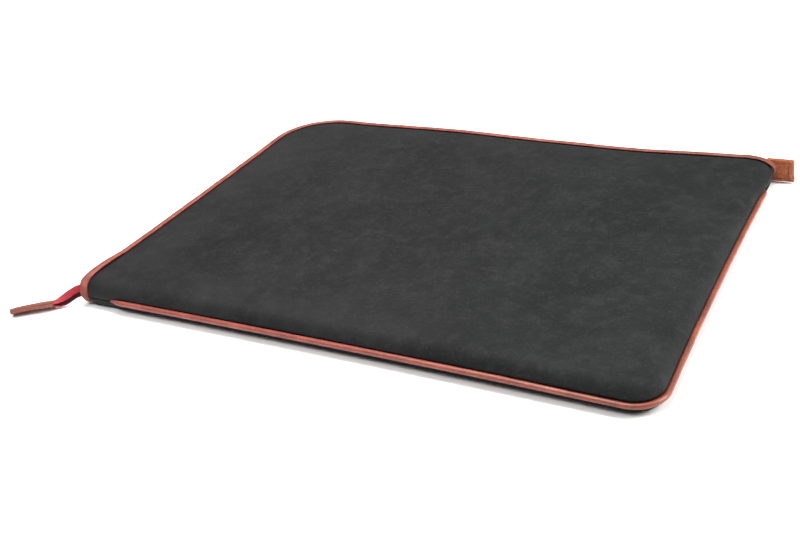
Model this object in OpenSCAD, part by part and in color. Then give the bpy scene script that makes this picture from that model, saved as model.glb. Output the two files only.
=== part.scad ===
// Flat leather laptop sleeve: two foam-padded, lined leather panels, a piped
// seam along the front and right sides, and a zip round the left and back
// sides whose panel edges are bound in leather.
// +X along the long front edge, +Y to the back, +Z up, origin on the
// underside at the middle of the footprint.

/* [Sleeve] */
// Width between the middle of the piping and the zip binding
sleeve_w = 345; // [330:1:360]
// Depth between the middle of the piping and the zip binding
sleeve_d = 253; // [240:1:266]
// Total thickness, flat and empty
thick = 16; // [15.6:0.1:18]
// Corner radius at the front left, where the zip leaves
r_fl = 8.5; // [7:0.5:10]
// Corner radius at the front right
r_fr = 16; // [12:0.5:18]
// Corner radius at the back right
r_br = 15; // [13:0.5:16]
// Corner radius at the back left, which the zip runs round
r_bl = 38; // [30:1:44]

/* [Panels] */
// Thickness of the cover leather
leather_t = 1.4; // [1.0:0.1:1.6]
// Thickness of the foam in each panel
foam_t = 3.0; // [2.4:0.1:3.2]
// Thickness of the lining cloth
lining_t = 0.6; // [0.4:0.1:0.8]

/* [Piping] */
// Diameter of the leather piping
piping_d = 3.4; // [3.2:0.1:4.4]
// Diameter of the cord inside the piping
cord_d = 1.8; // [1.6:0.1:2.4]
// Height of the piped seam
seam_z = 6.5; // [6:0.1:7]
// Plain seam between the piping and the zip's ends
plain_seam = 21; // [18:0.5:26]

/* [Zip] */
// Thickness of the leather that binds the panel edges
binding_t = 1.2; // [0.9:0.1:1.4]
// Width of the binding where it rolls over onto a panel
binding_lip = 3.5; // [3.1:0.1:4.5]
// Height of the window between the two bindings
zip_window = 5.6; // [5.4:0.1:6]
// Thickness of the woven zip tape
tape_t = 0.6; // [0.4:0.1:0.7]
// Length of the slider
slider_l = 12; // [10:0.5:13]
// Length of the leather pull tag
tag_l = 27; // [20:1:30]

/* [Flap] */
// Distance from the front edge to the fold, along the left side
fold_left = 26.5; // [24:0.5:40]
// Distance from the right edge to the fold, along the back side
fold_right = 64.5; // [62:0.5:80]

/* [Zip ends] */
// How far the stitched end tab reaches past the sleeve's right side
end_tab_out = 11; // [8:0.5:14]
// Length of the leather tab on the free tail of the zip
tail_tab_l = 25; // [20:1:30]
// Width of the leather tab on the free tail
tail_tab_w = 8; // [6.5:0.5:9]

/* [Hidden] */

hx = sleeve_w / 2;
hy = sleeve_d / 2;
T = thick;
zm = T / 2;                    // middle height of the zip
off_o = 0.5;                   // outer face of the bindings
off_i = off_o - binding_t;     // inner face of the bindings
tape_o = off_i - 0.1;          // outer face of the zip tape
tape_i = tape_o - tape_t;
coil_i = tape_i - 1.7;
gap_z = 0.55;                  // half the gap between the two coils
coil_h = 1.65;
tape_h = 5.2;
win_lo = zm - zip_window / 2;
win_hi = zm + zip_window / 2;
wall_off = -piping_d / 2;      // leather walls behind the piping
panel_off = off_o - binding_lip;
pad_off = -5.3;
pr = piping_d / 2;
fl = 0.8;                      // thickness of the piping's flange
fold_gap = 0.2;                // half the clearance at the fold

// the fold line
fa = [-hx, -hy + fold_left];
fb = [hx - fold_right, hy];
fd = (fb - fa) / norm(fb - fa);
fn = [-fd[1], fd[0]];

// closed end of the zip
slider_x = hx - 25.5;
coil_end = slider_x + slider_l / 2 + 0.4;
tab_x0 = hx - 4.5;
tab_x1 = hx + end_tab_out;

// free tail: fold point beyond the front left corner, then points along it
tail_dir = [-0.792, -0.610];
fl_c = [-hx + r_fl, -hy + r_fl];
tail_p = [fl_c[0] - (r_fl + 3.4) * 0.7071, fl_c[1] - (r_fl + 3.4) * 0.7071, 8.4];
tail_tip = [tail_p[0] - 14.8, tail_p[1] - 8.8, 3.3];

function arc(c, r, a0, a1, n) =
    [for (i = [0:n]) c + r * [cos(a0 + (a1 - a0) * i / n), sin(a0 + (a1 - a0) * i / n)]];

// the sleeve's outline, grown by l, b, r, f on its left, back, right and front
function outline(l, b, r, f) =
    let(rfl = r_fl + min(l, f), rfr = r_fr + min(r, f),
        rbr = r_br + min(r, b), rbl = r_bl + min(l, b),
        x0 = -hx - l, x1 = hx + r, y0 = -hy - f, y1 = hy + b)
    concat(arc([x0 + rfl, y0 + rfl], rfl, 180, 270, 8),
           arc([x1 - rfr, y0 + rfr], rfr, 270, 360, 10),
           arc([x1 - rbr, y1 - rbr], rbr, 0, 90, 10),
           arc([x0 + rbl, y1 - rbl], rbl, 90, 180, 18));

module slab(l, b, r, f, z0, z1)
    translate([0, 0, z0]) linear_extrude(z1 - z0) polygon(outline(l, b, r, f));

// a wall between two outlines
module wall(o, i, z0, z1) difference() {
    slab(o, o, o, o, z0, z1);
    slab(i, i, i, i, z0 - 1, z1 + 1);
}

module block(x0, x1, y0, y1, z0, z1)
    translate([x0, y0, z0]) cube([x1 - x0, y1 - y0, z1 - z0]);

// space on one side of the fold: s = 1 the flap, s = -1 the fixed part
module beyond_fold(s) {
    p = fa - 300 * fd + s * fold_gap * fn;
    q = fb + 300 * fd + s * fold_gap * fn;
    translate([0, 0, -5]) linear_extrude(T + 10)
        polygon(s > 0 ? [p, q, q + 500 * fn, p + 500 * fn]
                      : [q, p, p - 500 * fn, q - 500 * fn]);
}

// the left and back sides, where the zip runs
module zip_side(x_end) {
    block(-hx - 6, -hx + r_bl + 2, -hy + r_fl, hy + 6, -1, T + 1);
    block(-hx - 6, x_end, hy - r_bl - 2, hy + 6, -1, T + 1);
}

// the front and right sides, where the panels are sewn together
module seam_side() {
    block(-hx + r_fl, hx + 6, -hy - 6, -hy + r_fr + 2, -1, T + 1);
    block(hx - r_fr - 2, hx + 6, -hy - 6, hy - r_br - 2, -1, T + 1);
}

function side(p) = (p - fa) * fn;

// a point along the zip: left side, round the corner, back side
y_s = -hy + r_fl + 2;
len_l = hy - r_bl - y_s;
function len_c(o) = PI / 2 * (r_bl + o);
function zip_at(s, o) =
    s < len_l ? [-hx - o, y_s + s, 90]
    : s < len_l + len_c(o)
      ? let(a = 90 * (s - len_l) / len_c(o))
        [-hx + r_bl - (r_bl + o) * cos(a), hy - r_bl + (r_bl + o) * sin(a), 90 - a]
      : [-hx + r_bl + s - len_l - len_c(o), hy + o, 0];

stitch_pitch = 5;
zip_len = len_l + len_c(0) + (hx - r_br - (-hx + r_bl));

// one row of stitches on the outer face of a binding
module stitches(z, part) {
    for (i = [0 : floor(zip_len / stitch_pitch) - 1]) {
        p = zip_at(2.5 + i * stitch_pitch, off_o);
        d = side([p[0], p[1]]);
        if (part == 0 || (part > 0 && d > 3) || (part < 0 && d < -3))
            translate([p[0], p[1], z]) rotate([0, 0, p[2]])
                translate([-1.6, 0, -0.25]) cube([3.2, 0.35, 0.5]);
    }
}

// the room that a binding's rolled edge takes from a panel
module binding_room(z0, z1) intersection() {
    wall(off_o + 1, panel_off, z0 - 1, z1 + 1);
    union() {
        zip_side(hx + 6);
        block(-hx - 6, -hx + r_fl, -hy - 6, -hy + r_fl, -1, T + 1);
    }
}

/* ---- bottom panel ---- */
module bottom_cover() color([0.22, 0.22, 0.23]) {
    difference() {
        union() {
            slab(panel_off, panel_off, wall_off, wall_off, 0, leather_t);
            intersection() {
                wall(wall_off, wall_off - leather_t, 0, seam_z - fl / 2);
                seam_side();
            }
        }
        // the zip binding takes the place of the leather along its edge
        binding_room(0, seam_z);
    }
}

module bottom_padding() color([0.32, 0.32, 0.34])
    slab(pad_off, pad_off, wall_off - leather_t - 3.2, wall_off - leather_t - 3.2,
         leather_t, leather_t + foam_t);

module bottom_lining() color([0.55, 0.09, 0.12])
    slab(pad_off, pad_off, wall_off - leather_t - 3.2, wall_off - leather_t - 3.2,
         leather_t + foam_t, leather_t + foam_t + lining_t);

/* ---- top panel ---- */
module top_cover() difference() {
    union() {
        slab(panel_off, panel_off, wall_off, wall_off, T - leather_t, T);
        intersection() {
            wall(wall_off, wall_off - leather_t, seam_z + fl / 2, T);
            seam_side();
        }
    }
    binding_room(seam_z, T);
}
module top_padding()
    slab(pad_off, pad_off, wall_off - leather_t - 3.2, wall_off - leather_t - 3.2,
         T - leather_t - foam_t, T - leather_t);
module top_lining()
    slab(pad_off, pad_off, wall_off - leather_t - 3.2, wall_off - leather_t - 3.2,
         T - leather_t - foam_t - lining_t, T - leather_t - foam_t);

module top_cover_front() color([0.22, 0.22, 0.23])
    intersection() { top_cover(); beyond_fold(-1); }
module top_padding_front() color([0.32, 0.32, 0.34])
    intersection() { top_padding(); beyond_fold(-1); }
module top_lining_front() color([0.55, 0.09, 0.12])
    intersection() { top_lining(); beyond_fold(-1); }
module top_cover_flap() color([0.22, 0.22, 0.23])
    intersection() { top_cover(); beyond_fold(1); }
module top_padding_flap() color([0.32, 0.32, 0.34])
    intersection() { top_padding(); beyond_fold(1); }
module top_lining_flap() color([0.55, 0.09, 0.12])
    intersection() { top_lining(); beyond_fold(1); }

/* ---- piped seam ---- */
pipe_x0 = -hx + plain_seam;
pipe_y1 = hy - plain_seam;

// a round bar along the seam, between radii r1 and r0
module seam_bar(r1, r0) {
    difference() {
        union() {
            translate([pipe_x0, -hy, seam_z]) rotate([0, 90, 0])
                cylinder(r = r1, h = hx - r_fr - pipe_x0, $fn = 32);
            translate([hx, -hy + r_fr, seam_z]) rotate([-90, 0, 0])
                cylinder(r = r1, h = pipe_y1 - (-hy + r_fr), $fn = 32);
            translate([hx - r_fr, -hy + r_fr, seam_z]) rotate([0, 0, -90])
                rotate_extrude(angle = 90, $fn = 96) translate([r_fr, 0]) circle(r = r1, $fn = 32);
        }
        if (r0 > 0) union() {
            translate([pipe_x0 - 1, -hy, seam_z]) rotate([0, 90, 0])
                cylinder(r = r0, h = hx - r_fr - pipe_x0 + 1, $fn = 32);
            translate([hx, -hy + r_fr, seam_z]) rotate([-90, 0, 0])
                cylinder(r = r0, h = pipe_y1 - (-hy + r_fr) + 1, $fn = 32);
            translate([hx - r_fr, -hy + r_fr, seam_z]) rotate([0, 0, -90])
                rotate_extrude(angle = 90, $fn = 96) translate([r_fr, 0]) circle(r = r0, $fn = 32);
        }
    }
}

module seam_piping() color([0.72, 0.38, 0.30]) {
    seam_bar(pr, cord_d / 2);
    // flange sewn between the two panels
    intersection() {
        wall(-cord_d / 2 - 0.35, wall_off - 5, seam_z - fl / 2, seam_z + fl / 2);
        union() {
            block(pipe_x0, hx + 6, -hy - 6, -hy + r_fr + 2, -1, T + 1);
            block(hx - r_fr - 2, hx + 6, -hy - 6, pipe_y1, -1, T + 1);
        }
    }
}

module piping_cord() color([0.85, 0.82, 0.76]) seam_bar(cord_d / 2, 0);

// cloth tape that covers the raw seam inside the sleeve
module seam_binding_tape() color([0.50, 0.08, 0.11]) intersection() {
    wall(wall_off - 5.1, wall_off - 5.7, leather_t + foam_t + lining_t + 0.1,
         T - leather_t - foam_t - lining_t - 0.1);
    union() {
        block(pipe_x0, hx + 6, -hy - 6, -hy + r_fr + 2, -1, T + 1);
        block(hx - r_fr - 2, hx + 6, -hy - 6, pipe_y1, -1, T + 1);
    }
}

/* ---- leather bindings ---- */
module binding_lower() {
    intersection() {
        union() {
            wall(off_o, off_i, 0, win_lo);
            wall(off_o, panel_off, 0, leather_t);
        }
        union() {
            zip_side(hx + 6);
            block(-hx - 6, -hx + r_fl, -hy - 6, -hy + r_fl, -1, T + 1);
        }
        // round the back right corner as far as the seam
        block(-hx - 6, hx + 6, -hy - 6, hy + 6, -1, T + 1);
    }
}

module binding_upper() {
    intersection() {
        union() {
            wall(off_o, off_i, win_hi, T);
            wall(off_o, panel_off, T - leather_t, T);
        }
        union() {
            zip_side(hx + 6);
            block(-hx - 6, -hx + r_fl, -hy - 6, -hy + r_fl, -1, T + 1);
        }
    }
}

module zip_binding_lower() color([0.72, 0.38, 0.30]) difference() {
    binding_lower();
    block(hx - 30, hx + 9, -hy, hy - r_br - 2, -1, T + 1);
}

module zip_binding_upper() color([0.72, 0.38, 0.30])
    intersection() { binding_upper(); beyond_fold(1); }

module zip_binding_upper_ends() color([0.72, 0.38, 0.30]) {
    difference() {
        intersection() { binding_upper(); beyond_fold(-1); }
        block(hx - 30, hx + 9, -hy, hy - r_br - 2, -1, T + 1);
    }
}

module binding_stitching_lower() color([0.62, 0.30, 0.24]) stitches(win_lo - 1.6, 0);
module binding_stitching_upper() color([0.62, 0.30, 0.24]) stitches(win_hi + 1.6, 1);
module binding_stitching_ends() color([0.62, 0.30, 0.24]) stitches(win_hi + 1.6, -1);

/* ---- zip tape and coil ---- */
module tape(z0, z1, x_end)
    intersection() { wall(tape_o, tape_i, z0, z1); zip_side(x_end); }

// straight stretch of tape that runs on into the end tab
module tape_to_tab(z0, z1)
    block(hx - r_br - 1, tab_x1 - 3.2, hy + tape_i, hy + tape_o, z0, z1);

module zip_tape_lower() color([0.80, 0.16, 0.20]) {
    tape(zm - gap_z - tape_h, zm - gap_z, hx - r_br - 1);
    tape_to_tab(win_lo + 0.2, zm - gap_z);
}
module zip_tape_upper() color([0.80, 0.16, 0.20])
    intersection() { tape(zm + gap_z, zm + gap_z + tape_h, hx - r_br - 1); beyond_fold(1); }
module zip_tape_upper_ends() color([0.80, 0.16, 0.20]) {
    intersection() { tape(zm + gap_z, zm + gap_z + tape_h, hx - r_br - 1); beyond_fold(-1); }
    tape_to_tab(zm + gap_z, win_hi - 0.2);
}

module coil(z0, z1)
    intersection() { wall(tape_i, coil_i, z0, z1); zip_side(coil_end); }
module zip_coil_lower() color([0.70, 0.12, 0.16]) coil(zm - gap_z - coil_h, zm - gap_z);
module zip_coil_upper() color([0.70, 0.12, 0.16])
    intersection() { coil(zm + gap_z, zm + gap_z + coil_h); beyond_fold(1); }
module zip_coil_upper_ends() color([0.70, 0.12, 0.16])
    intersection() { coil(zm + gap_z, zm + gap_z + coil_h); beyond_fold(-1); }

module zip_top_stops() color([0.75, 0.72, 0.68])
    for (s = [-1, 1])
        block(coil_end + 0.1, coil_end + 2.6, hy + coil_i - 0.2, hy + tape_i,
              zm + s * (gap_z + coil_h / 2) - coil_h / 2, zm + s * (gap_z + coil_h / 2) + coil_h / 2);

/* ---- end tab at the closed end ---- */
module zip_end_tab() color([0.66, 0.36, 0.25]) {
    y0 = hy + tape_i;
    y1 = hy + tape_o;
    // one strip of leather folded round the ends of the tapes
    translate([0, 0, 1]) linear_extrude(T - 2) difference() {
        union() {
            translate([tab_x0, y0 - 1.1]) square([tab_x1 - 1.4 - tab_x0, y1 - y0 + 2.2]);
            translate([tab_x1 - 1.4, (y0 + y1) / 2]) circle(d = y1 - y0 + 2.2, $fn = 32);
        }
        translate([tab_x0 - 1, y0 - 0.02]) square([tab_x1 - 2.9 - tab_x0 + 1, y1 - y0 + 0.04]);
    }
}

module end_tab_stitching() color([0.60, 0.30, 0.20]) {
    y0 = hy + tape_i - 1.1;
    y1 = hy + tape_o + 1.1;
    for (f = [y0 - 0.3, y1])
        union() {
            for (z = [2.6, T - 2.6], i = [0:3])
                translate([tab_x0 + 1.2 + i * 3.2, f, z - 0.25]) cube([2.2, 0.3, 0.5]);
            for (i = [0:2])
                translate([tab_x1 - 2.6, f, 3.9 + i * 3.1]) cube([0.5, 0.3, 2.1]);
        }
}

/* ---- slider and puller ---- */
module slider_body() color([0.72, 0.70, 0.67]) {
    L = slider_l;
    translate([slider_x, hy, zm]) {
        // outer plate, inner plate and the divider between the two tapes
        translate([0, tape_o + 0.3, 0]) rotate([-90, 0, 0]) linear_extrude(1.3) union() {
            translate([-L / 2 + 1, -(zip_window - 0.8) / 2]) square([L - 2, zip_window - 0.8]);
            translate([-L / 2, -(zip_window - 2.8) / 2]) square([L, zip_window - 2.8]);
            for (sx = [-1, 1], sz = [-1, 1])
                translate([sx * (L / 2 - 1), sz * (zip_window - 2.8) / 2]) circle(r = 1, $fn = 32);
        }
        translate([0, coil_i - 1.5, 0]) rotate([-90, 0, 0]) linear_extrude(1.1) union() {
            translate([-L / 2 + 1, -3.6]) square([L - 2, 7.2]);
            translate([-L / 2, -2.6]) square([L, 5.2]);
            for (sx = [-1, 1], sz = [-1, 1])
                translate([sx * (L / 2 - 1), sz * 2.6]) circle(r = 1, $fn = 32);
        }
        translate([L / 2 - 4.2, coil_i - 0.6, -0.25]) cube([3.4, tape_o + 0.5 - coil_i + 0.6, 0.5]);
    }
}

crown_y = tape_o + 1.6;        // outer face of the slider's outer plate
pin_y = crown_y + 1.2;
module slider_crown() color([0.76, 0.74, 0.70])
    translate([slider_x, hy + crown_y, zm - 0.9]) linear_extrude(1.8) difference() {
        union() {
            translate([-3.6, 0]) square([7.2, 1.8]);
            translate([-2.8, 1.8]) square([5.6, 0.8]);
            for (s = [-1, 1]) translate([s * 2.8, 1.8]) circle(r = 0.8, $fn = 32);
        }
        translate([-1.9, -1]) square([3.8, 2.9]);
    }

link_l = 9;
module pull_link() color([0.76, 0.74, 0.70]) translate([slider_x, hy + pin_y, zm]) {
    for (z = [-3.4, 3.4]) translate([-link_l, 0, z]) rotate([0, 90, 0])
        cylinder(d = 1.3, h = link_l, $fn = 32);
    for (x = [0, -link_l]) translate([x, 0, -3.4]) cylinder(d = 1.3, h = 6.8, $fn = 32);
    for (x = [0, -link_l], z = [-3.4, 3.4]) translate([x, 0, z]) sphere(d = 1.3, $fn = 32);
}

tag_x = slider_x - link_l;
module pull_tag() color([0.70, 0.38, 0.28]) translate([tag_x, hy + pin_y, zm]) {
    // leather strip folded round the link's far bar and sewn to itself
    translate([0, 0, -2.6]) linear_extrude(5.2) difference() {
        union() {
            circle(d = 3.0, $fn = 48);
            translate([-tag_l + 3, -1.5]) square([tag_l - 3, 3.0]);
        }
        circle(d = 1.34, $fn = 48);
    }
    translate([-tag_l + 3, -1.5, 0]) rotate([-90, 0, 0]) linear_extrude(3.0) union() {
        translate([-1.6, -3.4]) square([tag_l - 8, 6.8]);
        translate([-3, -2]) square([3, 4]);
        for (s = [-1, 1]) translate([-1.6, s * 2]) circle(r = 1.4, $fn = 32);
    }
}

module pull_tag_stitching() color([0.60, 0.30, 0.20])
    translate([tag_x, hy + pin_y, zm])
        for (f = [-1.8, 1.5], z = [-2.2, 2.2], i = [0:5])
            translate([-tag_l + 4 + i * 2.9, f, z - 0.2]) cube([2, 0.3, 0.4]);

/* ---- free tail at the open end ---- */
// a flat strip along points p, w wide and t thick, rolled by an angle at each
// point: 90 stands it on edge and 0 lays it flat
module strip(p, w, t, roll) {
    n = len(p);
    side_v = [-tail_dir[1], tail_dir[0], 0];
    up_v = [0, 0, 1];
    pts = [for (i = [0:n - 1]) let(
              a = side_v * cos(roll[i]) + up_v * sin(roll[i]),
              b = -side_v * sin(roll[i]) + up_v * cos(roll[i]),
              hw = w[i] / 2, ht = t / 2)
           for (q = [[-1, -1], [1, -1], [1, 1], [-1, 1]])
               p[i] + a * hw * q[0] + b * ht * q[1]];
    faces = concat([[0, 1, 2, 3]],
        [for (i = [0:n - 2], k = [0:3]) [4 * i + k, 4 * (i + 1) + k, 4 * (i + 1) + (k + 1) % 4]],
        [for (i = [0:n - 2], k = [0:3]) [4 * i + k, 4 * (i + 1) + (k + 1) % 4, 4 * i + (k + 1) % 4]],
        [[4 * n - 1, 4 * n - 2, 4 * n - 3, 4 * n - 4]]);
    polyhedron(points = pts, faces = faces);
}

tail_n = 10;
tail_roll = 28;
function ease(u) = u * u * (3 - 2 * u);
function tail_at(u) = u < 1
    ? [tail_p[0] + (tail_tip[0] - tail_p[0]) * u,
       tail_p[1] + (tail_tip[1] - tail_p[1]) * u,
       tail_p[2] + (tail_tip[2] - tail_p[2]) * ease(u)]
    : tail_tip + 16 * (u - 1) * [tail_dir[0], tail_dir[1], 0];
function roll_at(u) = 90 - (90 - tail_roll) * ease(min(1, u));
tail_u = [for (i = [0:tail_n]) i / tail_n];

module tail_tape() color([0.80, 0.16, 0.20])
    strip([for (u = tail_u) tail_at(u * 1.3)],
          [for (u = tail_u) 2.4 + 3.8 * ease(min(1, u * 3))], 1.2,
          [for (u = tail_u) roll_at(u * 1.3)]);

module tail_coil() color([0.70, 0.12, 0.16])
    strip([for (u = tail_u) tail_at(0.26 + 0.62 * u) + tail_down(0.26 + 0.62 * u, 1.6)],
          [for (u = tail_u) 2.6], 1.1,
          [for (u = tail_u) roll_at(0.26 + 0.62 * u)]);

function tail_down(u, h) = let(r = roll_at(u),
                               s = [-tail_dir[1], tail_dir[0], 0])
    h * (s * sin(r) - [0, 0, 1] * cos(r));

module at_tail_tab() translate(tail_tip)
    rotate([0, 0, atan2(tail_dir[1], tail_dir[0])]) rotate([tail_roll, 0, 0]) children();

module tail_tab() color([0.72, 0.40, 0.32]) at_tail_tab() difference() {
    translate([0, 0, -1.5]) linear_extrude(3) union() {
        translate([0, -tail_tab_w / 2]) square([tail_tab_l - 1.5, tail_tab_w]);
        translate([0, -tail_tab_w / 2 + 1.5]) square([tail_tab_l, tail_tab_w - 3]);
        for (s = [-1, 1]) translate([tail_tab_l - 1.5, s * (tail_tab_w / 2 - 1.5)]) circle(r = 1.5, $fn = 32);
    }
    translate([-1, -3.4, -0.75]) cube([7.5, 6.8, 1.5]);
}

module tail_tab_stitching() color([0.60, 0.30, 0.20]) at_tail_tab()
    for (f = [-1.75, 1.5], s = [-1, 1], i = [0:5])
        translate([1.6 + i * 3.4, s * (tail_tab_w / 2 - 1.2) - 0.2, f]) cube([2.4, 0.4, 0.25]);

// crimped metal stop at the very end of the coil, under the tail's tape
module zip_bottom_stop() color([0.75, 0.72, 0.68])
    strip([for (u = [0.08, 0.12, 0.16, 0.2]) tail_at(u) + tail_down(u, 1.45)],
          [2.4, 2.4, 2.4, 2.4], 1.1,
          [for (u = [0.08, 0.12, 0.16, 0.2]) roll_at(u)]);

bottom_cover();
bottom_padding();
bottom_lining();
top_cover_front();
top_padding_front();
top_lining_front();
seam_piping();
piping_cord();
seam_binding_tape();
zip_binding_lower();
binding_stitching_lower();
zip_binding_upper_ends();
binding_stitching_ends();
zip_tape_lower();
zip_tape_upper_ends();
zip_coil_lower();
zip_coil_upper_ends();
zip_top_stops();
zip_end_tab();
end_tab_stitching();
top_cover_flap();
top_padding_flap();
top_lining_flap();
zip_binding_upper();
binding_stitching_upper();
zip_tape_upper();
zip_coil_upper();
slider_body();
slider_crown();
pull_link();
pull_tag();
pull_tag_stitching();
tail_tape();
tail_coil();
zip_bottom_stop();
tail_tab();
tail_tab_stitching();
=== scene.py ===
import math
import bpy
import bmesh
import numpy as np
from mathutils import Vector, Matrix, noise


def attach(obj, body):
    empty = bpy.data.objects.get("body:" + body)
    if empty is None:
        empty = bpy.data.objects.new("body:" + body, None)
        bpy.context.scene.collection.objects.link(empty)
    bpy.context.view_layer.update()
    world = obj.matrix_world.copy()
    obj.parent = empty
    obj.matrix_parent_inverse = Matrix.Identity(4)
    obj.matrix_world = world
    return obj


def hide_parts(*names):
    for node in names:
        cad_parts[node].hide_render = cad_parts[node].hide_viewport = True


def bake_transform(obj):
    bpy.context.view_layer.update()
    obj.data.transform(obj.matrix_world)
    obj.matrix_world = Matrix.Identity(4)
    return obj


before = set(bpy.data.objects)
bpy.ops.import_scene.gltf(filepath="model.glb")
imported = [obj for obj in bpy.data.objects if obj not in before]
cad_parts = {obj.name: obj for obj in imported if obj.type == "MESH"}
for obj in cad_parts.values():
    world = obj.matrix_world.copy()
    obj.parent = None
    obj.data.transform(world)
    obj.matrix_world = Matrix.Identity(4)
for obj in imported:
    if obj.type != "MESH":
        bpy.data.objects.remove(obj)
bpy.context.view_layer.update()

MM = 0.001
HX, HY, T = 172.5, 126.5, 16.0
SC = bpy.context.scene
COL = SC.collection


# ------------------------------------------------------------------ helpers
def smooth(t):
    t = np.clip(t, 0.0, 1.0)
    return t * t * (3 - 2 * t)


def unit(v):
    v = np.asarray(v, float)
    n = np.linalg.norm(v, axis=-1, keepdims=True)
    return v / np.maximum(n, 1e-12)


def make(name, verts, faces, mats, uv=None, mat_index=None, smooth_shade=True):
    """A mesh object from points in millimetres."""
    me = bpy.data.meshes.new(name)
    me.from_pydata([tuple(v) for v in (np.asarray(verts, float) * MM)], [], [tuple(int(i) for i in f) for f in faces])
    me.update()
    ob = bpy.data.objects.new(name, me)
    COL.objects.link(ob)
    for m in mats if isinstance(mats, (list, tuple)) else [mats]:
        me.materials.append(m)
    if mat_index is not None:
        me.polygons.foreach_set("material_index", np.asarray(mat_index, np.int32))
    if uv is not None:
        layer = me.uv_layers.new(name="UVMap")
        loops = np.zeros(len(me.loops), np.int32)
        me.loops.foreach_get("vertex_index", loops)
        layer.data.foreach_set("uv", np.asarray(uv, np.float32)[loops].ravel())
    bm = bmesh.new()
    bm.from_mesh(me)
    bmesh.ops.recalc_face_normals(bm, faces=bm.faces)
    bm.to_mesh(me)
    bm.free()
    me.polygons.foreach_set("use_smooth", [smooth_shade] * len(me.polygons))
    me.update()
    return ob


def bake(ob):
    """Applies the object's modifiers to its mesh."""
    dg = bpy.context.evaluated_depsgraph_get()
    dg.update()
    me = bpy.data.meshes.new_from_object(ob.evaluated_get(dg), preserve_all_data_layers=True, depsgraph=dg)
    old = ob.data
    ob.modifiers.clear()
    ob.data = me
    me.name = old.name + "_m"
    return ob


def subdivide(ob, levels=1):
    m = ob.modifiers.new("sub", "SUBSURF")
    m.levels = levels
    m.render_levels = levels
    return bake(ob)


def loft(loops, closed=True, caps=True):
    """Faces and points of a tube through loops of points (S, J, 3)."""
    loops = np.asarray(loops, float)
    S, J = loops.shape[:2]
    faces = []
    for s in range(S - 1):
        for j in range(J if closed else J - 1):
            k = (j + 1) % J
            faces.append((s * J + j, s * J + k, (s + 1) * J + k, (s + 1) * J + j))
    if caps and closed:
        faces.append(tuple(range(J))[::-1])
        faces.append(tuple((S - 1) * J + j for j in range(J)))
    return loops.reshape(-1, 3), faces


def strip_loops(M, thick, edge=0.5, round_=0.28):
    """Closed cross-sections of a strip of leather or tape around the mid-surface M (S, J, 3). Edges are rounded."""
    M = np.asarray(M, float)
    S, J = M.shape[:2]
    ds = np.gradient(M, axis=0)
    dj = np.gradient(M, axis=1)
    n = unit(np.cross(ds, dj))
    th = np.asarray(thick, float)
    th = np.broadcast_to(th.reshape(-1, 1) if th.ndim == 1 else th, (S, J))
    prof = np.ones(J)
    prof[0] = prof[-1] = edge
    out = M + n * (th * prof)[..., None] / 2
    inn = M - n * (th * prof)[..., None] / 2
    e0 = M[:, 0] - unit(dj[:, 0]) * th[:, :1] * round_
    e1 = M[:, -1] + unit(dj[:, -1]) * th[:, :1] * round_
    return np.concatenate([out, e1[:, None], inn[:, ::-1], e0[:, None]], axis=1)


def strip(name, M, thick, mat, edge=0.5, sub=0, cut=None, round_=0.28):
    loops = strip_loops(M, thick, edge, round_)
    S, J = loops.shape[:2]
    v, f = loft(loops)
    idx = None
    if cut is not None:                                  # raw cut edges: both long sides and the ends
        half = (J - 2) // 2
        idx = [1 if (q % J in (half - 1, half, J - 2, J - 1)) else 0 for q in range((S - 1) * J)] + [1, 1]
        mat = [mat, cut]
    mid = np.asarray(M, float)
    run = np.concatenate([[0], np.cumsum(np.linalg.norm(np.diff(mid.mean(axis=1), axis=0), axis=1))])
    across = np.concatenate([np.zeros((S, 1)), np.cumsum(np.linalg.norm(np.diff(loops, axis=1), axis=2), axis=1)], axis=1)
    uv = np.stack([np.repeat(run[:, None], J, 1), across], axis=2).reshape(-1, 2) * MM
    ob = make(name, v, f, mat, uv=uv, mat_index=idx)
    if sub:
        subdivide(ob, sub)
    return ob


def sweep(name, path, radius, mat, sides=12, up=(0, 0, 1), sx=1.0, sy=1.0, closed=False):
    """A round bar along a path; radius may change along it."""
    P = np.asarray(path, float)
    S = len(P)
    if closed:
        t = unit(np.roll(P, -1, 0) - np.roll(P, 1, 0))
    else:
        t = unit(np.gradient(P, axis=0))
    u = unit(np.cross(np.broadcast_to(np.asarray(up, float), P.shape), t))
    w = np.cross(t, u)
    r = np.broadcast_to(np.asarray(radius, float), (S,))
    a = np.linspace(0, 2 * math.pi, sides, endpoint=False)
    loops = P[:, None] + (u[:, None] * (np.cos(a) * sx)[None, :, None] + w[:, None] * (np.sin(a) * sy)[None, :, None]) * r[:, None, None]
    v, f = loft(loops, caps=not closed)
    if closed:
        J = sides
        for j in range(J):
            k = (j + 1) % J
            f.append(((S - 1) * J + j, (S - 1) * J + k, k, j))
    run = np.concatenate([[0], np.cumsum(np.linalg.norm(np.diff(P, axis=0), axis=1))])
    uv = np.stack([np.repeat(run[:, None], sides, 1), np.repeat((a * r.mean())[None], S, 0)], axis=2).reshape(-1, 2) * MM
    return make(name, v, f, mat, uv=uv)


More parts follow.
